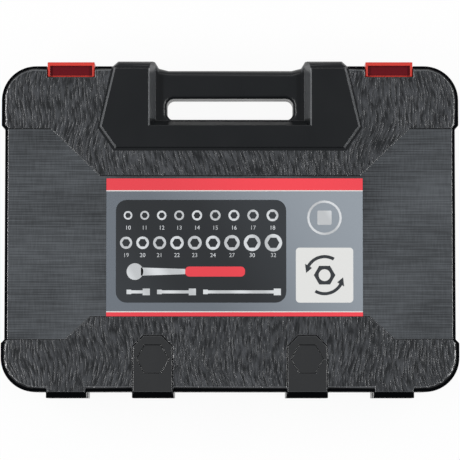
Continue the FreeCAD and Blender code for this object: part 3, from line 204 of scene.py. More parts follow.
def surface(tree, shader, colour, roughness, height, depth_mm):
    """Links a surface's colour, roughness and relief, where a height of 1 is depth_mm, to its shader."""
    tree.links.new(colour, shader.inputs["Base Color"])
    tree.links.new(roughness, shader.inputs["Roughness"])
    relief = add_node(tree, "Bump", {"Height": height, "Distance": depth_mm * MM})
    tree.links.new(relief, shader.inputs["Normal"])


def scaled_place(tree, *size_mm):
    """The place on the object, counted in repeats of a pattern of this size along X, Y and Z."""
    place = add_node(tree, "TexCoord", {}, "Object")
    repeats = [1 / (size * MM) for size in size_mm]
    return add_node(tree, "VectorMath", {0: place, 1: repeats}, operation="MULTIPLY")


def uneven(tree, size_mm, low=0.0, high=1.0, detail=2.0, bend=0.0):
    """Soft random values between low and high, in blots of this size along X, Y and Z."""
    place = scaled_place(tree, *size_mm)
    blots = add_node(tree, "TexNoise", {"Vector": place, "Scale": 1.0, "Detail": detail, "Distortion": bend})
    return add_node(tree, "MapRange", {0: blots, **NOISE_RANGE, 3: low, 4: high})


def times(colour, factor):
    """A lighter or darker shade of a colour."""
    return [*[factor * channel for channel in colour[:3]], 1.0]


def inside(tree, limits):
    """1 where a place lies inside every limit, and 0 elsewhere, with the left half as a mirror of the right.
    A limit is a direction, and how far in millimetres the place may lie along it."""
    place = add_node(tree, "TexCoord", {}, "Object")
    mirrored = add_node(tree, "VectorMath", {0: place, 1: (-1, 1, 1)}, operation="MULTIPLY")
    point = add_node(tree, "VectorMath", {0: place, 1: mirrored}, operation="MAXIMUM")
    mask = 1.0
    for direction, limit in limits:
        along = add_node(tree, "VectorMath", {0: point, 1: direction}, "Value", operation="DOT_PRODUCT")
        within = add_node(tree, "Math", {0: along, 1: limit * MM}, operation="LESS_THAN")
        mask = add_node(tree, "Math", {0: mask, 1: within}, operation="MULTIPLY")
    return mask


def reach_along(tree, direction, measure="Object"):
    """How far the place on the object, or its normal, reaches along a direction."""
    vector = add_node(tree, "TexCoord", {}, measure)
    return add_node(tree, "VectorMath", {0: vector, 1: direction}, "Value", operation="DOT_PRODUCT")


def facing(tree, axis):
    """How far the surface faces along an axis, either way, from 0 to 1."""
    return add_node(tree, "Math", {0: reach_along(tree, axis, "Normal")}, operation="ABSOLUTE")


# Blow-moulded polyethylene takes the mould's texture: a leather grain of long wrinkles whose ridges are
# painted pale on the level faces, partly from abrasion and partly as painted glints, satin panels with faint
# lines from the mould's milling, and smooth dark blocks. The sloping edges are glossy and painted black as
# painted shade, with a painted highlight line along them.
PLASTIC_IOR = 1.5

# parts of the shells, as limits for inside()
HANDLE_BLOCK = [((0.822, -0.569, 0), 43.0), ((0.975, 0.222, 0), 127.0), ((0, -1, 0), -65.5)]
# the handle block's top, where its sideways edges get a painted highlight
BLOCK_TOP_HIGHLIGHT = [*HANDLE_BLOCK, ((0, 0, -1), -74.1)]
# walls beside the grip, painted lighter as painted light
LIT_SHOULDER_WALLS = [((1, 0, 0), 76.0), ((-1, 0, 0), -60.0), ((0, -1, 0), -93.0), ((0, 1, 0), 138.0)]
# the step round the middle panel, where its sideways faces get a painted highlight
PANEL_SEAM_HIGHLIGHT = [((1, 0, 0), 158.0), ((0, 0, -1), -73.15), ((0, 0, 1), 74.1)]
HINGE_COVERS = [((1, 0, 0), 83.0), ((-1, 0, 0), -46.0), ((0, 1, 0), -87.0), ((0, 0, -1), -74.25)]
# inside the hexagons the sloping edges keep their painted shade, without the painted highlight line
HEXAGONS = [((1, 0, 0), 79.0), ((-1, 0, 0), -50.0), ((0, 1, 0), -96.5), ((0, -1, 0), 121.5)]

# how far a face looks up, where 0 is a wall and 1 is level
# faces that are not level take the painted shade of the outer edges
LEVEL_FACES = {1: 0.97, 2: 0.995}
HIGHLIGHT_LINES = {1: 0.94, 2: 0.98}
GENTLE_SLOPES = {1: 0.8, 2: 0.9}
WALLS = {1: 0.02, 2: 0.1}

# strength of reflections, and roughness
WALL_GLOSS = {3: 0.06, 4: 0.0}
EDGE_TO_FACE_GLOSS = {3: 1.0, 4: 0.4}
GRAIN_ROUGHNESS = {3: 0.36, 4: 0.24}
SATIN_ROUGHNESS = {3: 0.27, 4: 0.33}
EDGE_ROUGHNESS = 0.2

# leather grain, in millimetres, with heights as shares of its depth
GRAIN_DEPTH = 0.2
CLOUDS = (26, 40, 26)
LEAN_PATCHES = (120, 50, 50)
LEAN_MOST = 4.0  # widths of a wrinkle that a patch is shifted sideways
FURROW_TO_RIDGE = {1: 0.38, 2: 0.66}
PEBBLES = (1.2, 3.0, 1.2)
PEBBLE_RISE = 0.15
CLOUDED_WEAR_AND_GLINT = {3: 0.65, 4: 1.0}

# milling lines, in millimetres, with heights as shares of the grain's depth
MILLING_PITCH = 2.1  # between two lines of the mould's milling, drawn coarser than they are so that they show
MILLING_RISE = 0.2
MILLING_PASSES = (30, 1.3, 30)
CROSS_THREADS = (1.3, 12, 12)
PANEL_PATCHES = (80, 60, 80)
LINE_SHARE = 0.6
LINE_RISE = 0.1
LINE_SHADES = (0.45, 1.9)


def leather_grain(tree, case, clouds):
    """Height and colour of the leather grain, whose ridges are painted paler, partly from abrasion and partly
    as painted glints, more in some places than in others.
    """
    wide, long = case.grain_width / MM, case.grain_length / MM
    lean = add_node(tree, "CombineXYZ", {0: uneven(tree, LEAN_PATCHES, -LEAN_MOST, LEAN_MOST, detail=0.0)})
    place = scaled_place(tree, wide, long, wide)
    strokes = add_node(tree, "VectorMath", {0: place, 1: lean}, operation="ADD")
    folds = add_node(tree, "TexNoise", {"Vector": strokes, "Scale": 1.0, "Detail": 1.0})
    ridges = add_node(tree, "MapRange", {0: folds, **FURROW_TO_RIDGE})
    pebble = uneven(tree, PEBBLES, -PEBBLE_RISE, PEBBLE_RISE)
    wrinkles = add_node(tree, "Math", {0: ridges, 1: pebble}, operation="ADD", use_clamp=True)
    # the ridges' paleness, partly abrasion and partly painted glints, varies in clouds
    wear_and_glint = add_node(tree, "MapRange", {0: clouds, **CLOUDED_WEAR_AND_GLINT})
    crests = add_node(tree, "Math", {0: wrinkles, 1: wear_and_glint}, operation="MULTIPLY")
    grained = add_node(tree, "Mix", {0: crests, 6: case.grain_dark, 7: case.grain_light}, **COLOUR_MIX)
    return wrinkles, grained


def milled_panel(tree, case):
    """Height and colour of the faint lines that the mould's milling left on the middle panel."""
    phase = reach_along(tree, (0, math.tau / (MILLING_PITCH * MM), 0))
    wave = add_node(tree, "Math", {0: phase}, operation="SINE")
    passes = uneven(tree, MILLING_PASSES, low=0.2, high=0.8, detail=1.0)
    rows = add_node(tree, "Math", {0: wave, 1: MILLING_RISE, 2: passes}, operation="MULTIPLY_ADD")
    threads = uneven(tree, CROSS_THREADS, low=0.0, high=0.3, detail=1.0)
    woven = add_node(tree, "Math", {0: rows, 1: threads}, operation="SUBTRACT", use_clamp=True)
    slow = uneven(tree, PANEL_PATCHES, low=0.0, high=0.4)
    lines = add_node(tree, "Math", {0: woven, 1: LINE_SHARE, 2: slow}, operation="MULTIPLY_ADD")
    dark, pale = [times(case.panel, factor) for factor in LINE_SHADES]
    lined = add_node(tree, "Mix", {0: lines, 6: dark, 7: pale}, **COLOUR_MIX)
    faint = add_node(tree, "Math", {0: woven, 1: LINE_RISE}, operation="MULTIPLY")
    return faint, lined


def shell_colour(tree, case, faces, upward, level, handle):
    """Colour of a shell's level faces, the painted shade and painted highlight on its edges, and its handle
    block.
    """
    # the sloping edges are painted in shade, with a painted highlight line along them outside the hexagons
    highlight_line = add_node(tree, "MapRange", {0: upward, **HIGHLIGHT_LINES})
    sunk = inside(tree, HEXAGONS)
    highlighted = add_node(tree, "Math", {0: highlight_line, 1: sunk}, operation="SUBTRACT", use_clamp=True)
    shaded_slopes = add_node(tree, "Mix", {0: highlighted, 6: case.edge, 7: case.rim}, **COLOUR_MIX)
    shade_edged = add_node(tree, "Mix", {0: level, 6: shaded_slopes, 7: faces}, **COLOUR_MIX)
    # a painted highlight along the panel's seam where it faces sideways
    sideways = facing(tree, (1, 0, 0))
    seam_highlight = add_node(tree, "Math", {0: inside(tree, PANEL_SEAM_HIGHLIGHT), 1: sideways}, operation="MULTIPLY")
    seam_highlighted = add_node(tree, "Mix", {0: seam_highlight, 6: shade_edged, 7: case.rim}, **COLOUR_MIX)
    # painted light on the shoulder walls, and a painted highlight along the handle block's sideways edges
    block = case.smooth
    for limits, shade in ((LIT_SHOULDER_WALLS, case.shoulder), (BLOCK_TOP_HIGHLIGHT, case.rim)):
        lit = add_node(tree, "Math", {0: inside(tree, limits), 1: sideways}, operation="MULTIPLY")
        block = add_node(tree, "Mix", {0: lit, 6: block, 7: shade}, **COLOUR_MIX)
    return add_node(tree, "Mix", {0: handle, 6: seam_highlighted, 7: block}, **COLOUR_MIX)


def moulded_shell(name, panel_low, panel_high):
    """Plastic of one half of the case, with the heights between which its middle panel lies."""
    case = bpy.context.scene.socket_set_case
    made, tree, shader = start_material(name, {"IOR": PLASTIC_IOR})
    clouds = uneven(tree, CLOUDS)
    upward = facing(tree, (0, 0, 1))
    level = add_node(tree, "MapRange", {0: upward, **LEVEL_FACES})
    panel = inside(tree, [((0, 0, 1), panel_high), ((0, 0, -1), -panel_low)])
    cover = inside(tree, HINGE_COVERS)
    handle = inside(tree, HANDLE_BLOCK)
    wrinkles, grained = leather_grain(tree, case, clouds)
    faint, lined = milled_panel(tree, case)

    textured = add_node(tree, "Mix", {0: panel, 6: grained, 7: lined}, **COLOUR_MIX)
    faces = add_node(tree, "Mix", {0: cover, 6: textured, 7: case.cover}, **COLOUR_MIX)
    colour = shell_colour(tree, case, faces, upward, level, handle)

    satiny = add_node(tree, "Math", {0: level, 1: handle}, operation="MAXIMUM")
    turned = add_node(tree, "MapRange", {0: upward, **GENTLE_SLOPES})
    shine = add_node(tree, "Math", {0: turned, 1: handle}, operation="MAXIMUM")
    polish = add_node(tree, "MapRange", {0: satiny, **EDGE_TO_FACE_GLOSS})
    upright = add_node(tree, "MapRange", {0: upward, **WALLS, **WALL_GLOSS})
    gloss = add_node(tree, "Mix", {0: shine, 2: upright, 3: polish})
    tree.links.new(gloss, shader.inputs["Specular IOR Level"])

    smooth = add_node(tree, "Math", {0: handle, 1: cover}, operation="MAXIMUM")
    plain = add_node(tree, "Math", {0: panel, 1: smooth}, operation="MAXIMUM")
    grain_gloss = add_node(tree, "MapRange", {0: wrinkles, **GRAIN_ROUGHNESS})
    satin = add_node(tree, "MapRange", {0: clouds, **SATIN_ROUGHNESS})
    matt = add_node(tree, "Mix", {0: plain, 2: grain_gloss, 3: satin})
    roughness = add_node(tree, "Mix", {0: satiny, 2: EDGE_ROUGHNESS, 3: matt})
    height = add_node(tree, "Mix", {0: plain, 2: wrinkles, 3: faint})
    surface(tree, shader, colour, roughness, height, GRAIN_DEPTH)
    return made


# Injection-moulded polypropylene is glossy on its rims, with a faint orange peel; where it is sunk it is
# painted darker as painted shade.
LATCH_SIDES = [((1, 0, 0), 151.3), ((-1, 0, 0), -115.7), ((0, 1, 0), 137.6), ((0, -1, 0), -129.2)]
LATCH_SUNK_SHADE = [*LATCH_SIDES, ((0, 0, 1), 70.5)]


def moulded_red(name, colour, sunk=(), sunk_shade=None):
    """Glossy red plastic, with the limits of a sunk part if it has one, and the painted shade colour for it.
    """
    made, tree, shader = start_material(name, {"IOR": PLASTIC_IOR, "Specular IOR Level": 0.25})
    peel = uneven(tree, (1.6, 1.6, 1.6))
    clouds = uneven(tree, (14, 14, 14), low=0.85, high=1.0)
    shades = add_node(tree, "Mix", {0: clouds, 6: times(colour, 0.6), 7: colour}, **COLOUR_MIX)
    if sunk:
        # painted shade over the sunk part
        shades = add_node(tree, "Mix", {0: inside(tree, sunk), 6: shades, 7: sunk_shade}, **COLOUR_MIX)
    roughness = add_node(tree, "MapRange", {0: peel, 3: 0.2, 4: 0.28})
    surface(tree, shader, shades, roughness, peel, depth_mm=0.03)
    return made


# Vacuum-formed polystyrene: satin black with a fine pebble from the tool and paler scuffs.
def formed_tray(name, colour):
    """Black plastic of the tray and liner."""
    made, tree, shader = start_material(name, {"IOR": PLASTIC_IOR})
    pebble = uneven(tree, (0.9, 0.9, 0.9))
    scuffs = uneven(tree, (9, 30, 9), detail=4.0, bend=0.6)
    roughness = add_node(tree, "MapRange", {0: scuffs, 3: 0.36, 4: 0.52})
    shades = add_node(tree, "Mix", {0: scuffs, 6: colour, 7: times(colour, 1.7)}, **COLOUR_MIX)
    surface(tree, shader, shades, roughness, pebble, depth_mm=0.05)
    return made


# Printed vinyl film: flat ink, a little grainy, under a thin clear gloss.
def printed_film(name, colour, pale, sweep_mm):
    """Ink that goes from colour to pale and back along a slanting sweep."""
    made, tree, shader = start_material(name, {"Coat Weight": 0.3, "Coat Roughness": 0.12})
    turns = math.tau / (sweep_mm * MM)
    phase = reach_along(tree, (turns, 0.6 * turns, 0))
    sweep = add_node(tree, "Math", {0: phase}, operation="SINE")
    grit = uneven(tree, (0.7, 0.7, 0.7))
    share = add_node(tree, "MapRange", {0: sweep, 1: -0.6, 2: 1.0})
    inked = add_node(tree, "Mix", {0: share, 6: colour, 7: pale}, **COLOUR_MIX)
    roughness = add_node(tree, "MapRange", {0: grit, 3: 0.3, 4: 0.42})
    surface(tree, shader, inked, roughness, grit, depth_mm=0.004)
    return made


# Satin chrome on forged chrome vanadium, and bare ground steel: a soft mirror, a little uneven from tumbling.
def satin_metal(name, colour, rough, grain_mm):
    """Metal with a soft gloss, whose roughness lies between two values."""
    made, tree, shader = start_material(name, {"Metallic": 1.0})
    clouds = uneven(tree, (7, 7, 7), detail=3.0)
    grain = uneven(tree, grain_mm, detail=3.0)
    roughness = add_node(tree, "MapRange", {0: grain, 3: rough[0], 4: rough[1]})
    shades = add_node(tree, "Mix", {0: clouds, 6: times(colour, 0.86), 7: colour}, **COLOUR_MIX)
    surface(tree, shader, shades, roughness, grain, depth_mm=0.002)
    return made


# Moulded rubber: matt, with a fine grain that dulls every highlight.
def moulded_rubber(name, colour):
    """Matt black rubber."""
    made, tree, shader = start_material(name, {"IOR": PLASTIC_IOR})
    grain = uneven(tree, (0.8, 0.8, 0.8), detail=3.0)
    roughness = add_node(tree, "MapRange", {0: grain, 3: 0.55, 4: 0.72})
    shades = add_node(tree, "Mix", {0: grain, 6: colour, 7: times(colour, 1.6)}, **COLOUR_MIX)
    surface(tree, shader, shades, roughness, grain, depth_mm=0.06)
    return made


# Pieces
SHARP_ANGLE = math.radians(32)  # smaller bends between two faces are left as they are
KNIFE_ANGLE = math.radians(110)  # greater bends are thin tips, with no room for a round
ROOM_SHARE = 0.4  # most of a face's breadth that one round edge takes
FLAT_ANGLE = math.radians(1)  # two faces with a smaller bend are joined into one
WELD_GAP = 0.01 * MM
SAME_POINT = 0.001 * MM


def edge_widths(width):
    """Nodes that give every sharp edge a round of this width, or less where one of its faces is narrow."""
    group = bpy.data.node_groups.new("Edge widths", "GeometryNodeTree")
    for way in ("INPUT", "OUTPUT"):
        group.interface.new_socket("Mesh", in_out=way, socket_type="NodeSocketGeometry")
    mesh = add_node(group, "GroupInput", {}, family="Node")
    bend = add_node(group, "InputMeshEdgeAngle", {}, family="GeometryNode")
    sharp = add_node(group, "Math", {0: bend, 1: SHARP_ANGLE}, operation="GREATER_THAN")
    blunt = add_node(group, "Math", {0: bend, 1: KNIFE_ANGLE}, operation="LESS_THAN")
    area = add_node(group, "InputMeshFaceArea", {}, family="GeometryNode")
    inverse = add_node(group, "Math", {0: 1.0, 1: area}, operation="DIVIDE")
    # the mean of the inverse areas of an edge's two faces follows the smaller face
    small_faces = add_node(group, "FieldOnDomain", {0: inverse}, family="GeometryNode", domain="FACE")
    start = add_node(group, "InputMeshEdgeVertices", {}, "Position 1", family="GeometryNode")
    end = add_node(group, "InputMeshEdgeVertices", {}, "Position 2", family="GeometryNode")
    length = add_node(group, "VectorMath", {0: start, 1: end}, "Value", operation="DISTANCE")
    slender = add_node(group, "Math", {0: small_faces, 1: length}, operation="MULTIPLY")
    breadth = add_node(group, "Math", {0: 1.0, 1: slender}, operation="DIVIDE")
    share = add_node(group, "Math", {0: breadth, 1: ROOM_SHARE / width}, operation="MULTIPLY")
    limited = add_node(group, "Math", {0: share, 1: 1.0}, operation="MINIMUM")
    for chosen in (sharp, blunt):
        limited = add_node(group, "Math", {0: limited, 1: chosen}, operation="MULTIPLY")
    stored = {0: mesh, "Name": "bevel_weight_edge", "Value": limited}
    weighted = add_node(group, "StoreNamedAttribute", stored, family="GeometryNode", domain="EDGE")
    group.links.new(weighted, group.nodes.new("NodeGroupOutput").inputs[0])
    return group


def finish_node(name, material, edge_mm, segments=2):
    """Gives a CAD node its material, and rounds its edges with modifiers."""
    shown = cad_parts[name]
    shown.data.materials.clear()
    shown.data.materials.append(material)
    shown.data.shade_smooth()
    weld = shown.modifiers.new("Join faces", "WELD")
    weld.merge_threshold = WELD_GAP
    flat = shown.modifiers.new("Flat faces", "DECIMATE")
    flat.decimate_type = "DISSOLVE"
    flat.angle_limit = FLAT_ANGLE
    if edge_mm:
        shown.modifiers.new("Edge widths", "NODES").node_group = edge_widths(edge_mm * MM)
    # faces with holes have to be cut up before their edges are rounded, or the holes close
    shown.modifiers.new("Open holes", "TRIANGULATE")
    if edge_mm:
        bevel = shown.modifiers.new("Rounded edges", "BEVEL")
        bevel.width = edge_mm * MM
        bevel.segments = segments
        bevel.limit_method = "WEIGHT"
        bevel.offset_type = "WIDTH"
        bevel.loop_slide = False
        bevel.use_clamp_overlap = False
    normals = shown.modifiers.new("Smooth light", "WEIGHTED_NORMAL")
    normals.keep_sharp = True


def new_object(name, shape, material):
    """Turns a bmesh into an object in the scene."""
    mesh = bpy.data.meshes.new(name)
    shape.to_mesh(mesh)
    shape.free()
    mesh.materials.append(material)
    made = bpy.data.objects.new(name, mesh)
    bpy.context.scene.collection.objects.link(made)
    return made


def new_piece(name, shape, body, material):
    """Turns a bmesh into a piece that rides a body, with this material."""
    bmesh.ops.remove_doubles(shape, verts=shape.verts, dist=SAME_POINT)
    bmesh.ops.recalc_face_normals(shape, faces=shape.faces)
    piece = new_object(name, shape, material)
    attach(piece, body)
    return piece


RING_POINTS = 24  # corners of a printed ring, a multiple of 6 so that a hexagon keeps its corners
BAND_POINTS = 64  # corners of a plain raised band
CORNER_STEPS = 6  # of a round corner
ARROW_STEPS = 16  # of an arrow's shaft
HEAD_LENGTH = 2.4  # of an arrow, in widths of its shaft
HEAD_REACH = 1.3  # of an arrow to either side, in widths of its shaft
FIGURE_SHARE = 0.7  # height of a figure in a font of size 1


def rectangle(x0, x1, y0, y1):
    """Corner points of a rectangle."""
    return [(x0, y0), (x1, y0), (x1, y1), (x0, y1)]


def rounded_rectangle(x0, x1, y0, y1, radius):
    """Corner points of a rectangle with round corners, all in millimetres."""
    left, right, bottom, top = x0 + radius, x1 - radius, y0 + radius, y1 - radius
    points = []
    for quarter, (x, y) in enumerate([(right, top), (left, top), (left, bottom), (right, bottom)]):
        for step in range(CORNER_STEPS + 1):
            angle = math.radians(90 * (quarter + step / CORNER_STEPS))
            points.append((x + radius * math.cos(angle), y + radius * math.sin(angle)))
    return points


def hexagon_points(x, y, radius):
    """Points round a hexagon with two level sides, in millimetres."""
    points = []
    for step in range(RING_POINTS):
        angle = math.tau * step / RING_POINTS
        from_side = angle % math.radians(60) - math.radians(30)
        reach = radius * math.cos(math.radians(30)) / math.cos(from_side)
        points.append((x + reach * math.cos(angle), y + reach * math.sin(angle)))
    return points


def circle_points(x, y, radius, count=RING_POINTS):
    """Points round a circle, in millimetres."""
    angles = [math.tau * step / count for step in range(count)]
    return [(x + radius * math.cos(angle), y + radius * math.sin(angle)) for angle in angles]


def arrow_points(x, y, radius, width, start, end):
    """Outline of an arrow bent round a point, from one angle to another in degrees, in millimetres."""

    def at(reach, degrees):
        return (x + reach * math.cos(math.radians(degrees)), y + reach * math.sin(math.radians(degrees)))

    angles = [start + (end - start) * step / ARROW_STEPS for step in range(ARROW_STEPS + 1)]
    tip = end + math.copysign(math.degrees(HEAD_LENGTH * width / radius), end - start)
    barb = HEAD_REACH * width
    head = [at(radius + barb, end), at(radius, tip), at(radius - barb, end)]
    outer = [at(radius + width / 2, angle) for angle in angles]
    inner = [at(radius - width / 2, angle) for angle in reversed(angles)]
    return outer + head + inner


def join_rings(shape, near, far):
    """Adds the faces between two rings of as many points."""
    for i in range(len(near)):
        shape.faces.new((near[i - 1], near[i], far[i], far[i - 1]))


def add_plate(shape, points, level, thick, hole=()):
    """Adds a flat plate with this outline, and a hole with as many points if one is given, in millimetres."""
    outlines = [ring for ring in (points, hole) if ring]
    sides = []
    for z in (level, level + thick):
        sides.append([[shape.verts.new((x * MM, y * MM, z * MM)) for x, y in ring] for ring in outlines])
    for lower, upper in zip(*sides):
        join_rings(shape, lower, upper)
    for side in sides:
        if hole:
            join_rings(shape, *side)
        else:
            shape.faces.new(side[0])


def add_text(shape, text, x, y, z, height, depth, turn=0):
    """Adds raised figures centred on a place, in millimetres."""
    curve = bpy.data.curves.new("figures", "FONT")
    curve.body = text
    curve.size = height * MM / FIGURE_SHARE
    curve.align_x = "CENTER"
    curve.align_y = "CENTER"
    curve.extrude = depth * MM / 2
    curve.resolution_u = 3
    figures = bpy.data.objects.new("figures", curve)
    mesh = bpy.data.meshes.new_from_object(figures)
    middle = Matrix.Translation((x * MM, y * MM, (z + depth / 2) * MM))
    mesh.transform(middle @ Matrix.Rotation(math.radians(turn), 4, "Z"))
    shape.from_mesh(mesh)
    bpy.data.objects.remove(figures)
    bpy.data.curves.remove(curve)
    bpy.data.meshes.remove(mesh)


def add_band(shape, centre, radius, length, rise, ridges=0):
    """Adds a raised band round a line along X, plain or with straight ridges, in millimetres."""
    x, y, z = centre
    chamfer = min(rise, length / 4)
    stations = [(-length / 2, 0), (-length / 2 + chamfer, 1), (length / 2 - chamfer, 1), (length / 2, 0)]
    count = 2 * ridges or BAND_POINTS
    rings = []
    for along, full in stations:
        ring = []
        for step in range(count):
            angle = math.tau * step / count
            valley = ridges and step % 2
            reach = radius + (0 if valley else rise * full)
            point = (x + along, y + reach * math.sin(angle), z - reach * math.cos(angle))
            ring.append(shape.verts.new([value * MM for value in point]))
        rings.append(ring)
    for low, high in zip(rings, rings[1:] + rings[:1]):
        join_rings(shape, low, high)


class SOCKETSET_OT_case(Operator):
    """Gives the two shells and the hinge pins their finish"""

    bl_idname = "socket_set.case"
    bl_label = "Case"

    def execute(self, context):
        case = context.scene.socket_set_case
        lid = moulded_shell("grained polyethylene lid", panel_low=72.9, panel_high=73.55)
        base = moulded_shell("grained polyethylene base", panel_low=0.45, panel_high=1.1)
        finish_node("lid_shell", lid, case.edge_round / MM, segments=3)
        finish_node("base_shell", base, case.edge_round / MM / 2, segments=3)
        tools = context.scene.socket_set_tools
        steel = satin_metal("drawn steel pin", tools.steel, rough=(0.25, 0.4), grain_mm=(6, 0.6, 0.6))
        for side in SIDES:
            finish_node(f"hinge_pin_{side}", steel, edge_mm=0.2)
        return {"FINISHED"}


class SOCKETSET_OT_latches(Operator):
    """Gives the latches their finish, and adds the ribs a thumb pulls on"""

    bl_idname = "socket_set.latches"
    bl_label = "Latches"

    rib_levels = (40.0, 43.0, 46.0, 49.0)
    rib_half = 0.7  # half a rib's height
    rib_inset = 6.0
    rib_proud = 0.45
    rib_root = 0.3

    def execute(self, context):
        case = context.scene.socket_set_case
        red = moulded_red("glossy polypropylene latch", case.latch, LATCH_SUNK_SHADE, case.latch_deep)
        for side in SIDES:
            finish_node(f"latch_{side}", red, edge_mm=0.5)
            self.add_ribs(side, red)
        return {"FINISHED"}

    def add_ribs(self, side, material):
        """Adds level ribs to the front of a latch."""
        low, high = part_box(f"latch_{side}")
        root, crest = high.y / MM - self.rib_root, high.y / MM + self.rib_proud
        half = self.rib_half
        section = [(root, -half), (crest, -half / 2), (crest, half / 2), (root, half)]
        sides = (low.x / MM + self.rib_inset, high.x / MM - self.rib_inset)
        shape = bmesh.new()
        for level in self.rib_levels:
            ends = []
            for x in sides:
                ends.append([shape.verts.new((x * MM, y * MM, (level + z) * MM)) for y, z in section])
            join_rings(shape, *ends)
            shape.faces.new(ends[0])
            shape.faces.new(ends[1])
        new_piece(f"latch_ribs_{side}", shape, f"latch_{side}", material)


class SOCKETSET_OT_label(Operator):
    """Prints the label on the lid: bands, a dark panel of rings and tools, and a pale card with a nut"""

    bl_idname = "socket_set.label"
    bl_label = "Label"

    ink = 0.05  # thickness of a layer of ink
    head_band = 10.0
    foot_band = 3.4
    rule = 0.8
    margin = 8.0
    column = 56.0  # width of the right column
    card_height = 46.0

    ring_rows = (13.0, 36.0)  # panel's top to the middle of each row
    ring_least = 1.9
    ring_growth = 0.17  # of a ring's radius with the size of its socket
    hexagon_share = 0.68
    numeral_drop = 10.5

    ratchet_place = (16.0, 26.0)  # panel's left foot to the middle of the ratchet's head
    shank = ((5.0, -3.4), (42.0, -2.2), (42.0, 2.2), (5.0, 3.4))  # outline from the middle of the head
    grip = (42.0, 92.0, -4.2, 4.2)

    bar_place = (9.0, 9.0)  # panel's left foot to the end of the first bar
    bar_scale = 0.26
    bar_gap = 6.0
    # half breadths along a bar, each at a distance from its left end (0) or its right end (1)
    bar_profile = ((0, 0.0, 1.9), (0, 4.0, 1.9), (0, 4.0, 1.3), (1, -6.0, 1.3), (1, -6.0, 2.8), (1, 0.0, 2.8))

    drive_drop = 15.0
    drive_half = 6.0
    nut_rise = 23.0
    arrow_angles = ((60, 150), (240, 330))

    def execute(self, context):
        label = context.scene.socket_set_label
        ground = printed_film("slate ink on vinyl", label.ground, label.ground_light, sweep_mm=520)
        red = printed_film("red ink on vinyl", label.band, times(label.band, 1.15), sweep_mm=300)
        dark = printed_film("charcoal ink on vinyl", label.panel, times(label.panel, 1.7), sweep_mm=180)
        silver = printed_film("silver ink on vinyl", times(label.mark, 0.75), label.mark, sweep_mm=30)
        white = printed_film("white ink on vinyl", label.card, label.card, sweep_mm=200)
        finish_node("contents_label", ground, edge_mm=0)
        low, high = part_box("contents_label")
        x0, x1, y0, y1 = low.x / MM, high.x / MM, low.y / MM, high.y / MM
        first = high.z / MM
        second = first + self.ink
        third = second + self.ink
        head, foot = y1 - self.head_band, y0 + self.foot_band
        bands = [rectangle(x0, x1, head, y1), rectangle(x0, x1, y0, foot)]
        self.print_plates("label_bands", bands, first, red)
        rules = [rectangle(x0, x1, y - self.rule, y) for y in (head, foot + self.rule)]
        self.print_plates("label_rules", rules, first, white)
        bottom, top = foot + self.margin, head - self.margin
        left, right = x0 + self.margin, x1 - self.margin
        split = right - self.column
        panel = rounded_rectangle(left, split, bottom, top, radius=9)
        self.print_plates("label_panel", [panel], first, dark)
        card_left = split + self.margin
        card = rounded_rectangle(card_left, right, bottom, bottom + self.card_height, radius=3)
        self.print_plates("label_card", [card], first, white)
        self.print_rings(left, split, top, second, silver)
        self.print_tools(left, bottom, second, silver, red)
        self.print_symbols((card_left + right) / 2, bottom, top, third, silver, dark)
        return {"FINISHED"}

    def print_plates(self, name, outlines, level, material, holes=()):
        """Prints a layer of ink with each of these outlines, the first of them with holes if any."""
        shape = bmesh.new()
        for points, hole in itertools.zip_longest(outlines, holes, fillvalue=()):
            add_plate(shape, points, level, self.ink, hole)
        new_piece(name, shape, "lid", material)

    def print_rings(self, x0, x1, top, level, material):
        """Prints a ring with a hexagon for each socket, in two rows with their sizes below."""
        height = bpy.context.scene.socket_set_label.numeral_height / MM
        shape = bmesh.new()
        half = len(SOCKET_SIZES) // 2
        for drop, sizes in zip(self.ring_rows, (SOCKET_SIZES[:half], SOCKET_SIZES[half:])):
            row = top - drop
            radii = [self.ring_growth * size + self.ring_least for size in sizes]
            gap = (x1 - x0 - 2 * sum(radii)) / (half + 1)
            x = x0
            for size, radius in zip(sizes, radii):
                x += gap + radius
                hexagon = hexagon_points(x, row, self.hexagon_share * radius)
                add_plate(shape, circle_points(x, row, radius), level, self.ink, hexagon)
                add_text(shape, str(size), x, row - self.numeral_drop, level, height, self.ink)
                x += radius
        new_piece("label_rings", shape, "lid", material)

    def print_tools(self, x0, bottom, level, silver, red):
        """Prints plain outlines of a ratchet and of three bars along the foot of the dark panel."""
        x, y = x0 + self.ratchet_place[0], bottom + self.ratchet_place[1]
        head = circle_points(x, y, radius=7)
        shank = [(x + along, y + across) for along, across in self.shank]
        self.print_plates("label_ratchet", [head, shank], level, silver)
        start, end, low, high = self.grip
        grip = rounded_rectangle(x + start, x + end, y + low, y + high, radius=3.4)
        self.print_plates("label_grip", [grip], level, red)

        left, y = x0 + self.bar_place[0], bottom + self.bar_place[1]
        bars = []
        for length in EXTENSIONS:
            ends = (left, left + self.bar_scale * length)
            profile = [(ends[end] + shift, half) for end, shift, half in self.bar_profile]
            lower = [(x, y - half) for x, half in profile]
            upper = [(x, y + half) for x, half in reversed(profile)]
            bars.append(lower + upper)
            left = ends[1] + self.bar_gap
        self.print_plates("label_bars", bars, level, silver)

    def print_symbols(self, x, bottom, top, level, silver, dark):
        """Prints a drive square in a ring above the card, and a nut between two turning arrows on it."""
        y = top - self.drive_drop
        half = self.drive_half
        outer, inner = circle_points(x, y, radius=14.5), circle_points(x, y, radius=12.6)
        square = rounded_rectangle(x - half, x + half, y - half, y + half, radius=1.2)
        self.print_plates("label_drive", [outer, square], level, silver, holes=[inner])
        y = bottom + self.nut_rise
        nut, hole = hexagon_points(x, y, radius=9), circle_points(x, y, radius=5)
        arrows = []
        for start, end in self.arrow_angles:
            arrows.append(arrow_points(x, y, radius=15.5, width=2.6, start=start, end=end))
        self.print_plates("label_nut", [nut, *arrows], level, dark, holes=[hole])


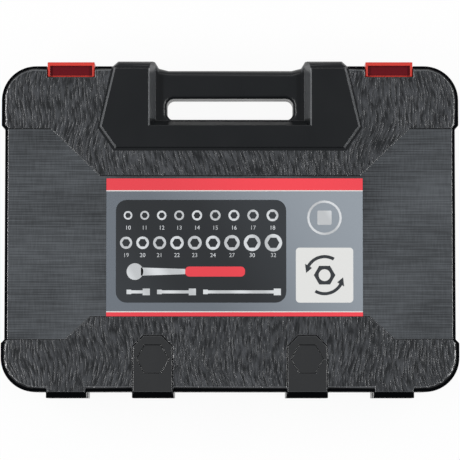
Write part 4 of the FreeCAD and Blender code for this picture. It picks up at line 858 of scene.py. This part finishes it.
class SOCKETSET_OT_tray(Operator):
    """Gives the tray and the lid's liner their finish, and prints the socket sizes beside the nests"""

    bl_idname = "socket_set.tray"
    bl_label = "Tray and liner"

    corner_socket = 15  # between the column of smaller sockets and the row of larger ones
    side_socket = 24  # the first of those that stand at the right
    # middle of a socket to its numeral in the column and at the corner
    column_gap = 14.65
    corner_shift = (-11.0, 13.0)
    # edge of a nest to its numeral in the row and at the right, where it stands on a slant
    row_gap = 4.5
    side_gap = 5.0
    slant = 0.72
    least_nest = 22.0

    def execute(self, context):
        case = context.scene.socket_set_case
        black = formed_tray("vacuum-formed polystyrene", case.tray)
        finish_node("tool_tray", black, edge_mm=0.6)
        finish_node("lid_liner", black, edge_mm=0.6)
        ink = printed_film("pale ink on polystyrene", case.numeral, case.numeral, sweep_mm=100)
        shape = bmesh.new()
        for size in SOCKET_SIZES:
            x, y = self.numeral_place(size)
            add_text(shape, str(size), x, y, z=40, height=4.2, depth=0.25, turn=180)
        new_piece("tray_numerals", shape, "base", ink)
        return {"FINISHED"}

    def numeral_place(self, size):
        """Place of a socket's numeral, which depends on the row that the socket stands in."""
        low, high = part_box(f"socket_{size}")
        x, y = (low.x + high.x) / 2 / MM, (low.y + high.y) / 2 / MM
        reach = max(high.x - low.x, self.least_nest * MM) / 2 / MM
        if size < self.corner_socket:
            return x, y + self.column_gap
        if size == self.corner_socket:
            return x + self.corner_shift[0], y + self.corner_shift[1]
        if size < self.side_socket:
            return x, y + reach + self.row_gap
        away = self.slant * (reach + self.side_gap)
        return x + away, y + away


class SOCKETSET_OT_sockets(Operator):
    """Gives the sockets their finish"""

    bl_idname = "socket_set.sockets"
    bl_label = "Sockets"

    def execute(self, context):
        tools = context.scene.socket_set_tools
        grain = (1.2, 1.2, 0.3)
        chrome = satin_metal("satin chrome on sockets", tools.chrome, rough=(0.2, 0.3), grain_mm=grain)
        edge = tools.edge_round / MM
        for size in SOCKET_SIZES:
            finish_node(f"socket_{size}", chrome, edge)
        rubber = moulded_rubber("nitrile rubber", tools.grip)
        for size in PLUG_SIZES:
            finish_node(f"spark_plug_socket_{size}", chrome, edge)
            finish_node(f"plug_insert_{size}", rubber, edge_mm=0.2)
        return {"FINISHED"}


class SOCKETSET_OT_bars(Operator):
    """Gives the extensions, the universal joint and the sliding bar their finish, and adds their knurls"""

    bl_idname = "socket_set.bars"
    bl_label = "Bars and joint"

    # end of a tool to the middle of its knurl, length of the knurl and number of its ridges
    extension_knurl = (11.0, 9.0, 44)
    plug_knurl = (12.0, 10.0, 52)
    collar_radius = 11.0
    knurl_root = 0.02

    def execute(self, context):
        tools = context.scene.socket_set_tools
        chrome = satin_metal("satin chrome on bars", tools.chrome, rough=(0.2, 0.32), grain_mm=(0.4, 3, 3))
        steel = satin_metal("hardened steel", tools.steel, rough=(0.15, 0.28), grain_mm=(2, 2, 2))
        edge = tools.edge_round / MM
        for length in EXTENSIONS:
            finish_node(f"extension_{length}", chrome, edge)
        for name in ("joint_socket_yoke", "joint_drive_yoke", "sliding_bar", "slider_head"):
            finish_node(name, chrome, edge)
        for name in (
            "extension_detent_balls",
            "extension_detent_springs",
            "joint_cross",
            "joint_detent_ball",
            "joint_detent_spring",
            "bar_stop_balls",
            "slider_detent_ball",
            "slider_detent_spring",
        ):
            finish_node(name, steel, edge_mm=0)
        self.add_knurls(tools.knurl_depth / MM, chrome)
        return {"FINISHED"}

    def add_knurls(self, depth, material):
        """Adds knurls to the extensions and to the spark plug sockets."""
        shape = bmesh.new()
        for length in EXTENSIONS:
            low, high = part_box(f"extension_{length}")
            self.add_knurl(shape, low, high, self.collar_radius, depth, *self.extension_knurl)
        new_piece("extension_knurls", shape, "base", material)
        shape = bmesh.new()
        for size in PLUG_SIZES:
            low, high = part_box(f"spark_plug_socket_{size}")
            radius = (high.y - low.y) / 2 / MM
            self.add_knurl(shape, low, high, radius, depth, *self.plug_knurl)
        new_piece("plug_socket_knurls", shape, "base", material)

    def add_knurl(self, shape, low, high, radius, depth, from_end, length, ridges):
        """Adds a knurl near the right end of a tool with this box."""
        middle = (high.x / MM - from_end, (low.y + high.y) / 2 / MM, (low.z + high.z) / 2 / MM)
        add_band(shape, middle, radius - self.knurl_root, length, depth, ridges)


class SOCKETSET_OT_ratchet(Operator):
    """Gives the ratchet's pieces their finish, and adds the rings of its grip and the spring of its button"""

    bl_idname = "socket_set.ratchet"
    bl_label = "Ratchet"

    heel = 8.0  # length of the grip's round end
    cone = 14.0  # length of its cone at the collar
    waist_radius = 13.5  # of the grip where the cone starts
    front_rings = 3
    rear_rings = 4
    ring_gap = 3.0  # inlays to the nearest ring
    ring_pitch = 3.2
    ring_width = 1.6
    ring_rise = 0.25
    ring_root = 0.05
    wire_radius = 0.3
    wire_sides = 8
    spring_turns = 6
    turn_steps = 20
    button_travel = 2.5

    def execute(self, context):
        tools = context.scene.socket_set_tools
        chrome = satin_metal("satin chrome on ratchet", tools.chrome, rough=(0.18, 0.3), grain_mm=(2, 2, 2))
        steel = satin_metal("polished steel", tools.steel, rough=(0.12, 0.25), grain_mm=(2, 2, 2))
        rubber = moulded_rubber("thermoplastic rubber", tools.grip)
        red = moulded_red("polypropylene inlay", tools.inlay)
        edge = tools.edge_round / MM
        for name in ("ratchet_body", "head_cover", "ratchet_drive_gear", "reversing_lever"):
            finish_node(name, chrome, edge)
        for name in ("cover_screws", "drive_detent_ball", "release_button", "ratchet_pawl"):
            finish_node(name, steel, edge_mm=0.15)
        finish_node("grip_core", rubber, edge_mm=0.6)
        finish_node("grip_inlays", red, edge_mm=0.4)
        finish_node("grip_collar", red, edge_mm=0.4)
        self.add_grip_rings(rubber)
        self.wind_spring(steel)
        return {"FINISHED"}

    def add_grip_rings(self, material):
        """Adds raised rings to the grip in front of its inlays and behind them."""
        low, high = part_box("grip_core")
        inlay_low, inlay_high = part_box("grip_inlays")
        y, z = (low.y + high.y) / 2 / MM, (low.z + high.z) / 2 / MM
        full = (high.y - low.y) / 2 / MM
        heel, waist = low.x / MM + self.heel, high.x / MM - self.cone
        front, rear = inlay_high.x / MM + self.ring_gap, inlay_low.x / MM - self.ring_gap
        places = [front + self.ring_pitch * step for step in range(self.front_rings)]
        places += [rear - self.ring_pitch * step for step in range(self.rear_rings)]
        shape = bmesh.new()
        for x in places:
            radius = full - (full - self.waist_radius) * (x - heel) / (waist - heel) - self.ring_root
            add_band(shape, (x, y, z), radius, self.ring_width, self.ring_rise + self.ring_root)
        new_piece("grip_rings", shape, "base", material)

    def wind_spring(self, material):
        """Winds the spring under the release button."""
        low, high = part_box("button_spring")
        x, y = (low.x + high.x) / 2 / MM, (low.y + high.y) / 2 / MM
        reach = (high.x - low.x) / 2 / MM - self.wire_radius
        foot, top = low.z / MM + self.wire_radius, high.z / MM - self.wire_radius
        last = self.spring_turns * self.turn_steps
        shape = bmesh.new()
        rings = []
        for step in range(last + 1):
            turn = math.tau * step / self.turn_steps
            middle = foot + (top - foot) * step / last
            ring = []
            for out, up in circle_points(reach, middle, self.wire_radius, self.wire_sides):
                place = (x + out * math.cos(turn), y + out * math.sin(turn), up)
                ring.append(shape.verts.new([value * MM for value in place]))
            rings.append(ring)
        for near, far in zip(rings, rings[1:]):
            join_rings(shape, near, far)
        shape.faces.new(rings[0])
        shape.faces.new(rings[-1])
        spring = new_piece("button_coil", shape, "ratchet_drive", material)
        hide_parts("button_spring")
        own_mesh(spring)


class SOCKETSET_OT_stage(Operator):
    """Sets up the camera above the lid, a pale floor and soft lights"""

    bl_idname = "socket_set.stage"
    bl_label = "Stage"

    sensor = 36.0
    floor_reach = 40.0  # metres from the middle of the floor to its edges
    floor_drop = 0.2  # below the case's lowest point
    sky_colour = "#f4f6fa"
    # place, width and length in metres and power in watts of each soft lamp
    lamps = {
        "left strip": ((-1.07, 0.0, 1.2), 0.14, 1.4, 14.0),
        "right strip": ((1.07, 0.0, 1.2), 0.14, 1.4, 11.0),
        "front fill": ((0.0, 1.5, 1.0), 0.5, 1.4, 3.0),
    }

    def execute(self, context):
        scene = context.scene
        stage = scene.socket_set_stage
        scene.view_settings.view_transform = "Standard"
        self.add_camera(scene, stage)
        self.add_floor(stage)
        self.add_lights(scene, stage)
        return {"FINISHED"}

    def add_camera(self, scene, stage):
        """Adds a camera that looks down on the lid, from a little towards the hinges."""
        lens = bpy.data.cameras.new("camera")
        lens.sensor_width = self.sensor
        lens.lens = self.sensor * stage.camera_distance / stage.view_width
        camera = bpy.data.objects.new("camera", lens)
        aim = Matrix.Translation((0, -stage.camera_aim, CAD_BOX[1].z))
        lean = Matrix.Rotation(stage.camera_lean, 4, "X")
        away = Matrix.Translation((0, 0, stage.camera_distance))
        camera.matrix_world = aim @ lean @ away
        scene.collection.objects.link(camera)
        scene.camera = camera

    def add_floor(self, stage):
        """Adds a floor of white paper just below the case."""
        made, tree, shader = start_material("pale paper sweep", {"Roughness": 0.9, "Specular IOR Level": 0.1})
        grain = uneven(tree, (3, 3, 3), detail=3.0)
        shades = {0: grain, 6: times(stage.floor, 0.97), 7: stage.floor}
        tree.links.new(add_node(tree, "Mix", shades, **COLOUR_MIX), shader.inputs["Base Color"])
        # the camera and reflections see paper that is lit evenly, with a trace of the shadow left
        seen = add_node(tree, "LightPath", {}, "Is Camera Ray")
        for kind in ("Is Glossy Ray", "Is Transmission Ray"):
            ray = add_node(tree, "LightPath", {}, kind)
            seen = add_node(tree, "Math", {0: seen, 1: ray}, operation="MAXIMUM")
        share = add_node(tree, "Math", {0: seen, 1: stage.evenness}, operation="MULTIPLY")
        glow = add_node(tree, "Emission", {"Color": stage.floor})
        paper = add_node(tree, "MixShader", {0: share, 1: shader.outputs[0], 2: glow})
        tree.links.new(paper, tree.nodes["Material Output"].inputs["Surface"])
        shape = bmesh.new()
        bmesh.ops.create_grid(shape, x_segments=1, y_segments=1, size=self.floor_reach)
        floor = new_object("floor", shape, made)
        floor.location.z = CAD_BOX[0].z - self.floor_drop * MM

    def add_lights(self, scene, stage):
        """Adds an even sky and the lamps, which all point at the middle of the case."""
        world = bpy.data.worlds.new("studio")
        world.use_nodes = True
        background = world.node_tree.nodes["Background"]
        background.inputs["Color"].default_value = linear(self.sky_colour)
        background.inputs["Strength"].default_value = stage.sky
        scene.world = world
        for name, (place, width, length, power) in self.lamps.items():
            lamp = bpy.data.lights.new(name, "AREA")
            lamp.shape = "RECTANGLE"
            lamp.size = width
            lamp.size_y = length
            lamp.energy = power
            light = bpy.data.objects.new(name, lamp)
            light.location = place
            light.rotation_euler = (-Vector(place)).to_track_quat("-Z", "X").to_euler()
            scene.collection.objects.link(light)


class SOCKETSET_PT_panel(Panel):
    """Lists the steps that finish the socket set"""

    bl_idname = "SOCKETSET_PT_panel"
    bl_label = "Socket set"
    bl_space_type = "VIEW_3D"
    bl_region_type = "UI"
    bl_category = "Socket set"

    def draw(self, context):
        for name in SETTINGS:
            box = self.layout.box()
            settings = getattr(context.scene, name)
            for field in settings.bl_rna.properties:
                if field.identifier not in {"rna_type", "name"}:
                    box.prop(settings, field.identifier)
        for step in STEPS:
            self.layout.operator(step.bl_idname)


SETTINGS = {
    "socket_set_case": CaseSettings,
    "socket_set_label": LabelSettings,
    "socket_set_tools": ToolSettings,
    "socket_set_stage": StageSettings,
}
STEPS = [
    SOCKETSET_OT_case,
    SOCKETSET_OT_latches,
    SOCKETSET_OT_label,
    SOCKETSET_OT_tray,
    SOCKETSET_OT_sockets,
    SOCKETSET_OT_bars,
    SOCKETSET_OT_ratchet,
    SOCKETSET_OT_stage,
]
CLASSES = [*SETTINGS.values(), *STEPS, SOCKETSET_PT_panel]


def register():
    for kind in CLASSES:
        bpy.utils.register_class(kind)
    for name, group in SETTINGS.items():
        setattr(bpy.types.Scene, name, bpy.props.PointerProperty(type=group))


def unregister():
    for name in SETTINGS:
        delattr(bpy.types.Scene, name)
    for kind in reversed(CLASSES):
        bpy.utils.unregister_class(kind)


def main():
    register()
    bpy.ops.socket_set.case()
    bpy.ops.socket_set.latches()
    bpy.ops.socket_set.label()
    bpy.ops.socket_set.tray()
    bpy.ops.socket_set.sockets()
    bpy.ops.socket_set.bars()
    bpy.ops.socket_set.ratchet()
    bpy.ops.socket_set.stage()


if __name__ == "__main__":
    main()
